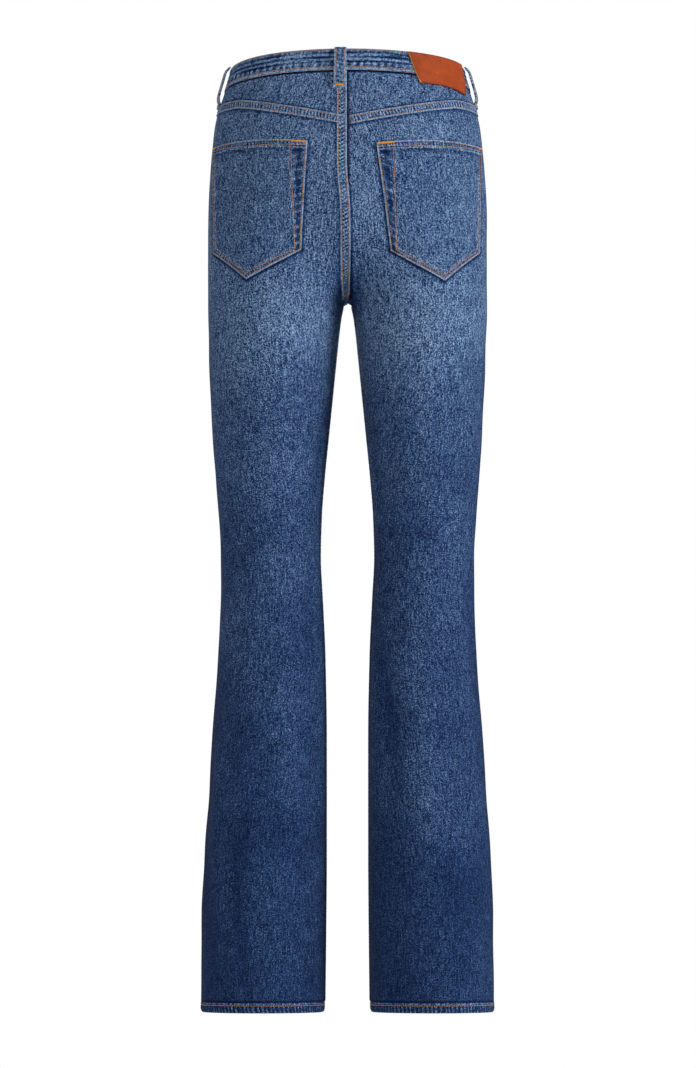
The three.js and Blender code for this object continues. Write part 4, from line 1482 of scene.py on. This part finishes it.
def make_fly():
    bend = FLY_BEND_HEIGHT + (FLY_BOTTOM - FLY_BEND_HEIGHT) * np.cos(np.linspace(0, math.pi / 2, 30))
    straight = np.linspace(FLY_BEND_HEIGHT, band_seam(2.0) - 0.2, 70)[1:]
    heights = np.concatenate([bend, straight])
    rows = heights[:, None]
    free = 2 - turn_out_to(FLY_EDGE_X, rows)
    stitched = 2 + turn_out_to(fly_stitched_x(rows), rows)
    layout = Layout(on_waist, rows, lerp(free, stitched, spaced(42, 1.0)))
    own_turn, side = half_of(layout.turn)
    outside = 0.3 + lerp(1.5, 0.7, smoothstep(layout.left, 0, 30)) + 0.2 * bell(layout.left - 1.5, 1.2)
    for inset in FLY_ROWS_IN:
        outside = outside - 0.25 * bell(layout.right - inset, 0.6)
    between = 0.12 * rungs(layout.up, 6.5, 111) * bell(layout.right - np.mean(FLY_ROWS_IN), 2.2)
    outside = outside + between
    fade = wear_and_shade(layout.height, own_turn, side) + 0.34 * bell(layout.left - 0.8, 0.9) + 0.01
    fade = fade + between + 0.24 * bell(layout.right - 0.5, 0.7)
    name = "fly_flap"
    sewn(f"{name}_cloth", layout, outside, 0.2, fade, "denim", [name], finishes=FOLDED_DENIM)
    threads = Needlework(112)
    for inset in FLY_ROWS_IN:
        height = heights[heights > FLY_BOTTOM + inset * 0.7]
        x = np.maximum(fly_stitched_x(height) - inset, 1.0)
        x = np.where(height < FLY_BEND_HEIGHT + 2, np.maximum(x - inset * 0.2, 0.5), x)
        threads.line(on_waist, height, 2 + turn_out_to(x, height), 1.15)
    height = np.linspace(FLY_BOTTOM + 14, band_seam(2.0) - 1, 80)
    threads.line(on_waist, height, 2 - turn_out_to(FLY_EDGE_X - FLY_ROWS_IN[0], height), 1.75)
    threads.piece("fly_stitches")
    tacks = Needlework(113)
    low_turns = 2 + turn_out_to(np.linspace(-2.0, 5.0, 8), FLY_BOTTOM + 3.0)
    tacks.tack(on_waist, FLY_BOTTOM + 3.0, low_turns, 1.9)
    upright = np.linspace(FLY_BEND_HEIGHT + 4, FLY_BEND_HEIGHT + 12, 8)
    tacks.tack(on_waist, upright, 2 + turn_out_to(29.5, upright), 1.35)
    sew_buttonhole(tacks)
    tacks.piece("fly_tacks", "tack")


def sew_buttonhole(tacks):
    """Close stitches round the slit that the button is pushed through."""
    middle = band_seam(2.0) + BAND_HEIGHT / 2
    x = np.linspace(4.0, 21.0, 16)
    sides = [(x, middle - 1.15, 2.0), (x, middle + 1.15, 2.0)]
    end = (21.5, middle + np.linspace(-1.6, 1.6, 6), 1.8)
    for out, height, width in (*sides, end):
        tacks.tack(on_waist, height, 2 + turn_out_to(out, height), BAND_OUT + 0.15, width)


def make_button():
    middle = band_seam(2.0) + BAND_HEIGHT / 2
    normal = body_normal(np.array([middle]), np.array([2.0]))[0]
    out = Vector((0, normal[1], normal[2])).normalized()
    seat = Vector(body_point(np.array([middle]), np.array([2.0]))[0]) + out * BUTTON_STANDOFF
    made = bmesh.new()
    points = [made.verts.new((radius, 0, rise)) for radius, rise in BUTTON_PROFILE]
    edges = [made.edges.new(pair) for pair in zip(points, points[1:])]
    round_z = {"cent": (0, 0, 0), "axis": (0, 0, 1), "dvec": (0, 0, 0), "angle": 2 * math.pi}
    bmesh.ops.spin(made, geom=points + edges, steps=4 * BUTTON_BEADS, use_merge=True, **round_z)
    bmesh.ops.remove_doubles(made, verts=made.verts[:], dist=0.002)
    bmesh.ops.recalc_face_normals(made, faces=made.faces[:])
    for vertex in made.verts:
        angle = math.atan2(vertex.co.y, vertex.co.x)
        radius = math.hypot(vertex.co.x, vertex.co.y)
        beads = 0.16 * math.cos(BUTTON_BEADS * angle) * float(bell(radius - 5.9, 0.5))
        vertex.co.z += beads * (vertex.co.z > 2.2)
    turned = out.to_track_quat("Z", "Y").to_matrix().to_4x4()
    placed = Matrix.Scale(MM, 4) @ Matrix.Translation(seat) @ turned
    bmesh.ops.transform(made, matrix=placed, verts=made.verts[:])
    take(object_of("button_copper", mesh_of("button_shank", made), ["copper"]), ["button"])


# The stage: the camera stands behind the jeans, a little below their middle
CAMERA_AT = (0.0, -4.5, -0.793)
CAMERA_AIM = (0.0006, 0.0, -0.5485)
VIEW_HEIGHT = 1.2585
SENSOR = 36
LAMP_AIM = (0, 0, -0.5)
FLOOR_DROP = 0.26
FLOOR_RADIUS = 12.0
WORLD_LIGHT = 0.40
LAMPS = {
    "key_light": ((3.3, -2.0, 0.7), 1.4, 96.0),
    "fill_light": ((-2.2, -3.8, -0.2), 2.2, 22.0),
    "front_light": ((-1.4, 3.6, 0.8), 2.0, 44.0),
}


def white_to_camera(tree, shader, white_kind, output):
    """Gives the camera an even white and leaves all other light to the shader."""
    white = tree.nodes.new(white_kind)
    white.inputs["Color"].default_value = (1, 1, 1, 1)
    path = tree.nodes.new("ShaderNodeLightPath")
    mixed = tree.nodes.new("ShaderNodeMixShader")
    tree.links.new(path.outputs["Is Camera Ray"], mixed.inputs["Fac"])
    tree.links.new(shader.outputs[0], mixed.inputs[1])
    tree.links.new(white.outputs[0], mixed.inputs[2])
    tree.links.new(mixed.outputs["Shader"], tree.nodes[output].inputs["Surface"])


def stand(name, data, place, aim):
    """Puts the camera or a lamp at a place, turned to face another."""
    stood = bpy.data.objects.new(name, data)
    bpy.context.scene.collection.objects.link(stood)
    stood.location = place
    stood.rotation_euler = (Vector(aim) - Vector(place)).to_track_quat("-Z", "Y").to_euler()
    return stood


def make_stage():
    scene = bpy.context.scene
    camera = stand("camera", bpy.data.cameras.new("camera"), CAMERA_AT, CAMERA_AIM)
    camera.data.sensor_width = SENSOR
    camera.data.lens = SENSOR * abs(CAMERA_AT[1]) / VIEW_HEIGHT
    scene.camera = camera
    for name, (place, size, power) in LAMPS.items():
        lamp = bpy.data.lights.new(name, "AREA")
        lamp.shape = "DISK"
        lamp.size = size
        lamp.energy = power
        stand(name, lamp, place, LAMP_AIM)
    made = bmesh.new()
    bmesh.ops.create_circle(made, cap_ends=True, segments=96, radius=FLOOR_RADIUS)
    drop = Matrix.Translation((0, 0, HEM * MM - FLOOR_DROP))
    bmesh.ops.transform(made, matrix=drop, verts=made.verts[:])
    mesh = mesh_of("floor", made)
    finish = Finish("pale_floor", 0.9, Base_Color=(*colours().floor, 1))
    white_to_camera(finish.tree, finish.shader, "ShaderNodeEmission", "Material Output")
    mesh.materials.append(finish.data)
    floor = bpy.data.objects.new("floor", mesh)
    scene.collection.objects.link(floor)
    world = bpy.data.worlds.new("studio")
    world.use_nodes = True
    scene.world = world
    tree = world.node_tree
    background = tree.nodes["Background"]
    background.inputs["Color"].default_value = (1, 1, 1, 1)
    background.inputs["Strength"].default_value = WORLD_LIGHT
    white_to_camera(tree, background, "ShaderNodeBackground", "World Output")
    scene.view_settings.view_transform = "Standard"


class JEANS_OT_stage(bpy.types.Operator):
    """Set up the camera, the soft studio lights and the pale floor"""

    bl_idname = "jeans.stage"
    bl_label = "Stage"

    def execute(self, context):
        make_stage()
        return {"FINISHED"}


class JEANS_OT_panels(bpy.types.Operator):
    """Sew the back and front panels"""

    bl_idname = "jeans.panels"
    bl_label = "Panels"

    def execute(self, context):
        make_panels()
        return {"FINISHED"}


class JEANS_OT_yokes(bpy.types.Operator):
    """Sew the yokes and their folded seams"""

    bl_idname = "jeans.yokes"
    bl_label = "Yokes"

    def execute(self, context):
        make_yokes()
        make_yoke_seams()
        return {"FINISHED"}


class JEANS_OT_seams(bpy.types.Operator):
    """Sew the seat seam, the front rise and the inseams"""

    bl_idname = "jeans.seams"
    bl_label = "Seams"

    def execute(self, context):
        make_centre_seams()
        make_inseams()
        return {"FINISHED"}


class JEANS_OT_hems(bpy.types.Operator):
    """Turn up the hems"""

    bl_idname = "jeans.hems"
    bl_label = "Hems"

    def execute(self, context):
        make_hems()
        return {"FINISHED"}


class JEANS_OT_back_pockets(bpy.types.Operator):
    """Sew on the pointed back pockets"""

    bl_idname = "jeans.back_pockets"
    bl_label = "Back Pockets"

    def execute(self, context):
        make_back_pockets()
        return {"FINISHED"}


class JEANS_OT_front_pockets(bpy.types.Operator):
    """Sew the facings and mouths of the front pockets"""

    bl_idname = "jeans.front_pockets"
    bl_label = "Front Pockets"

    def execute(self, context):
        make_pocket_facings()
        return {"FINISHED"}


class JEANS_OT_waistband(bpy.types.Operator):
    """Sew the waistband"""

    bl_idname = "jeans.waistband"
    bl_label = "Waistband"

    def execute(self, context):
        make_waistband()
        return {"FINISHED"}


class JEANS_OT_belt_loops(bpy.types.Operator):
    """Sew on the five belt loops"""

    bl_idname = "jeans.belt_loops"
    bl_label = "Belt Loops"

    def execute(self, context):
        make_belt_loops()
        return {"FINISHED"}


class JEANS_OT_patch(bpy.types.Operator):
    """Put the bare leather patch on the waistband"""

    bl_idname = "jeans.patch"
    bl_label = "Leather Patch"

    def execute(self, context):
        make_leather_patch()
        return {"FINISHED"}


class JEANS_OT_fly(bpy.types.Operator):
    """Sew the fly and the buttonhole, and set the button"""

    bl_idname = "jeans.fly"
    bl_label = "Fly"

    def execute(self, context):
        make_fly()
        make_button()
        return {"FINISHED"}


class JEANS_OT_cloth(bpy.types.Operator):
    """An empty step that changes nothing"""

    bl_idname = "jeans.cloth"
    bl_label = "Cloth Sizes"

    def execute(self, context):
        return {"FINISHED"}


OPERATORS = (
    JEANS_OT_stage,
    JEANS_OT_panels,
    JEANS_OT_yokes,
    JEANS_OT_seams,
    JEANS_OT_hems,
    JEANS_OT_back_pockets,
    JEANS_OT_front_pockets,
    JEANS_OT_waistband,
    JEANS_OT_belt_loops,
    JEANS_OT_patch,
    JEANS_OT_fly,
    JEANS_OT_cloth,
)


class JEANS_PT_sewing(bpy.types.Panel):
    """Lists the steps of the sewing, with its sizes and colours"""

    bl_idname = "JEANS_PT_sewing"
    bl_label = "Jeans"
    bl_space_type = "VIEW_3D"
    bl_region_type = "UI"
    bl_category = "Jeans"

    def draw(self, context):
        for group in (context.scene.jeans_sizes, context.scene.jeans_colours):
            for name in group.__annotations__:
                self.layout.prop(group, name)
        for operator in OPERATORS:
            self.layout.operator(operator.bl_idname)


CLASSES = (JeansSizes, JeansColours, *OPERATORS, JEANS_PT_sewing)


def register():
    for one in CLASSES:
        bpy.utils.register_class(one)
    bpy.types.Scene.jeans_sizes = PointerProperty(type=JeansSizes)
    bpy.types.Scene.jeans_colours = PointerProperty(type=JeansColours)


def unregister():
    del bpy.types.Scene.jeans_colours
    del bpy.types.Scene.jeans_sizes
    for one in reversed(CLASSES):
        bpy.utils.unregister_class(one)


def main():
    register()
    for operator in OPERATORS:
        group, name = operator.bl_idname.split(".")
        getattr(getattr(bpy.ops, group), name)()
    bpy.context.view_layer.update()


if __name__ == "__main__":
    main()
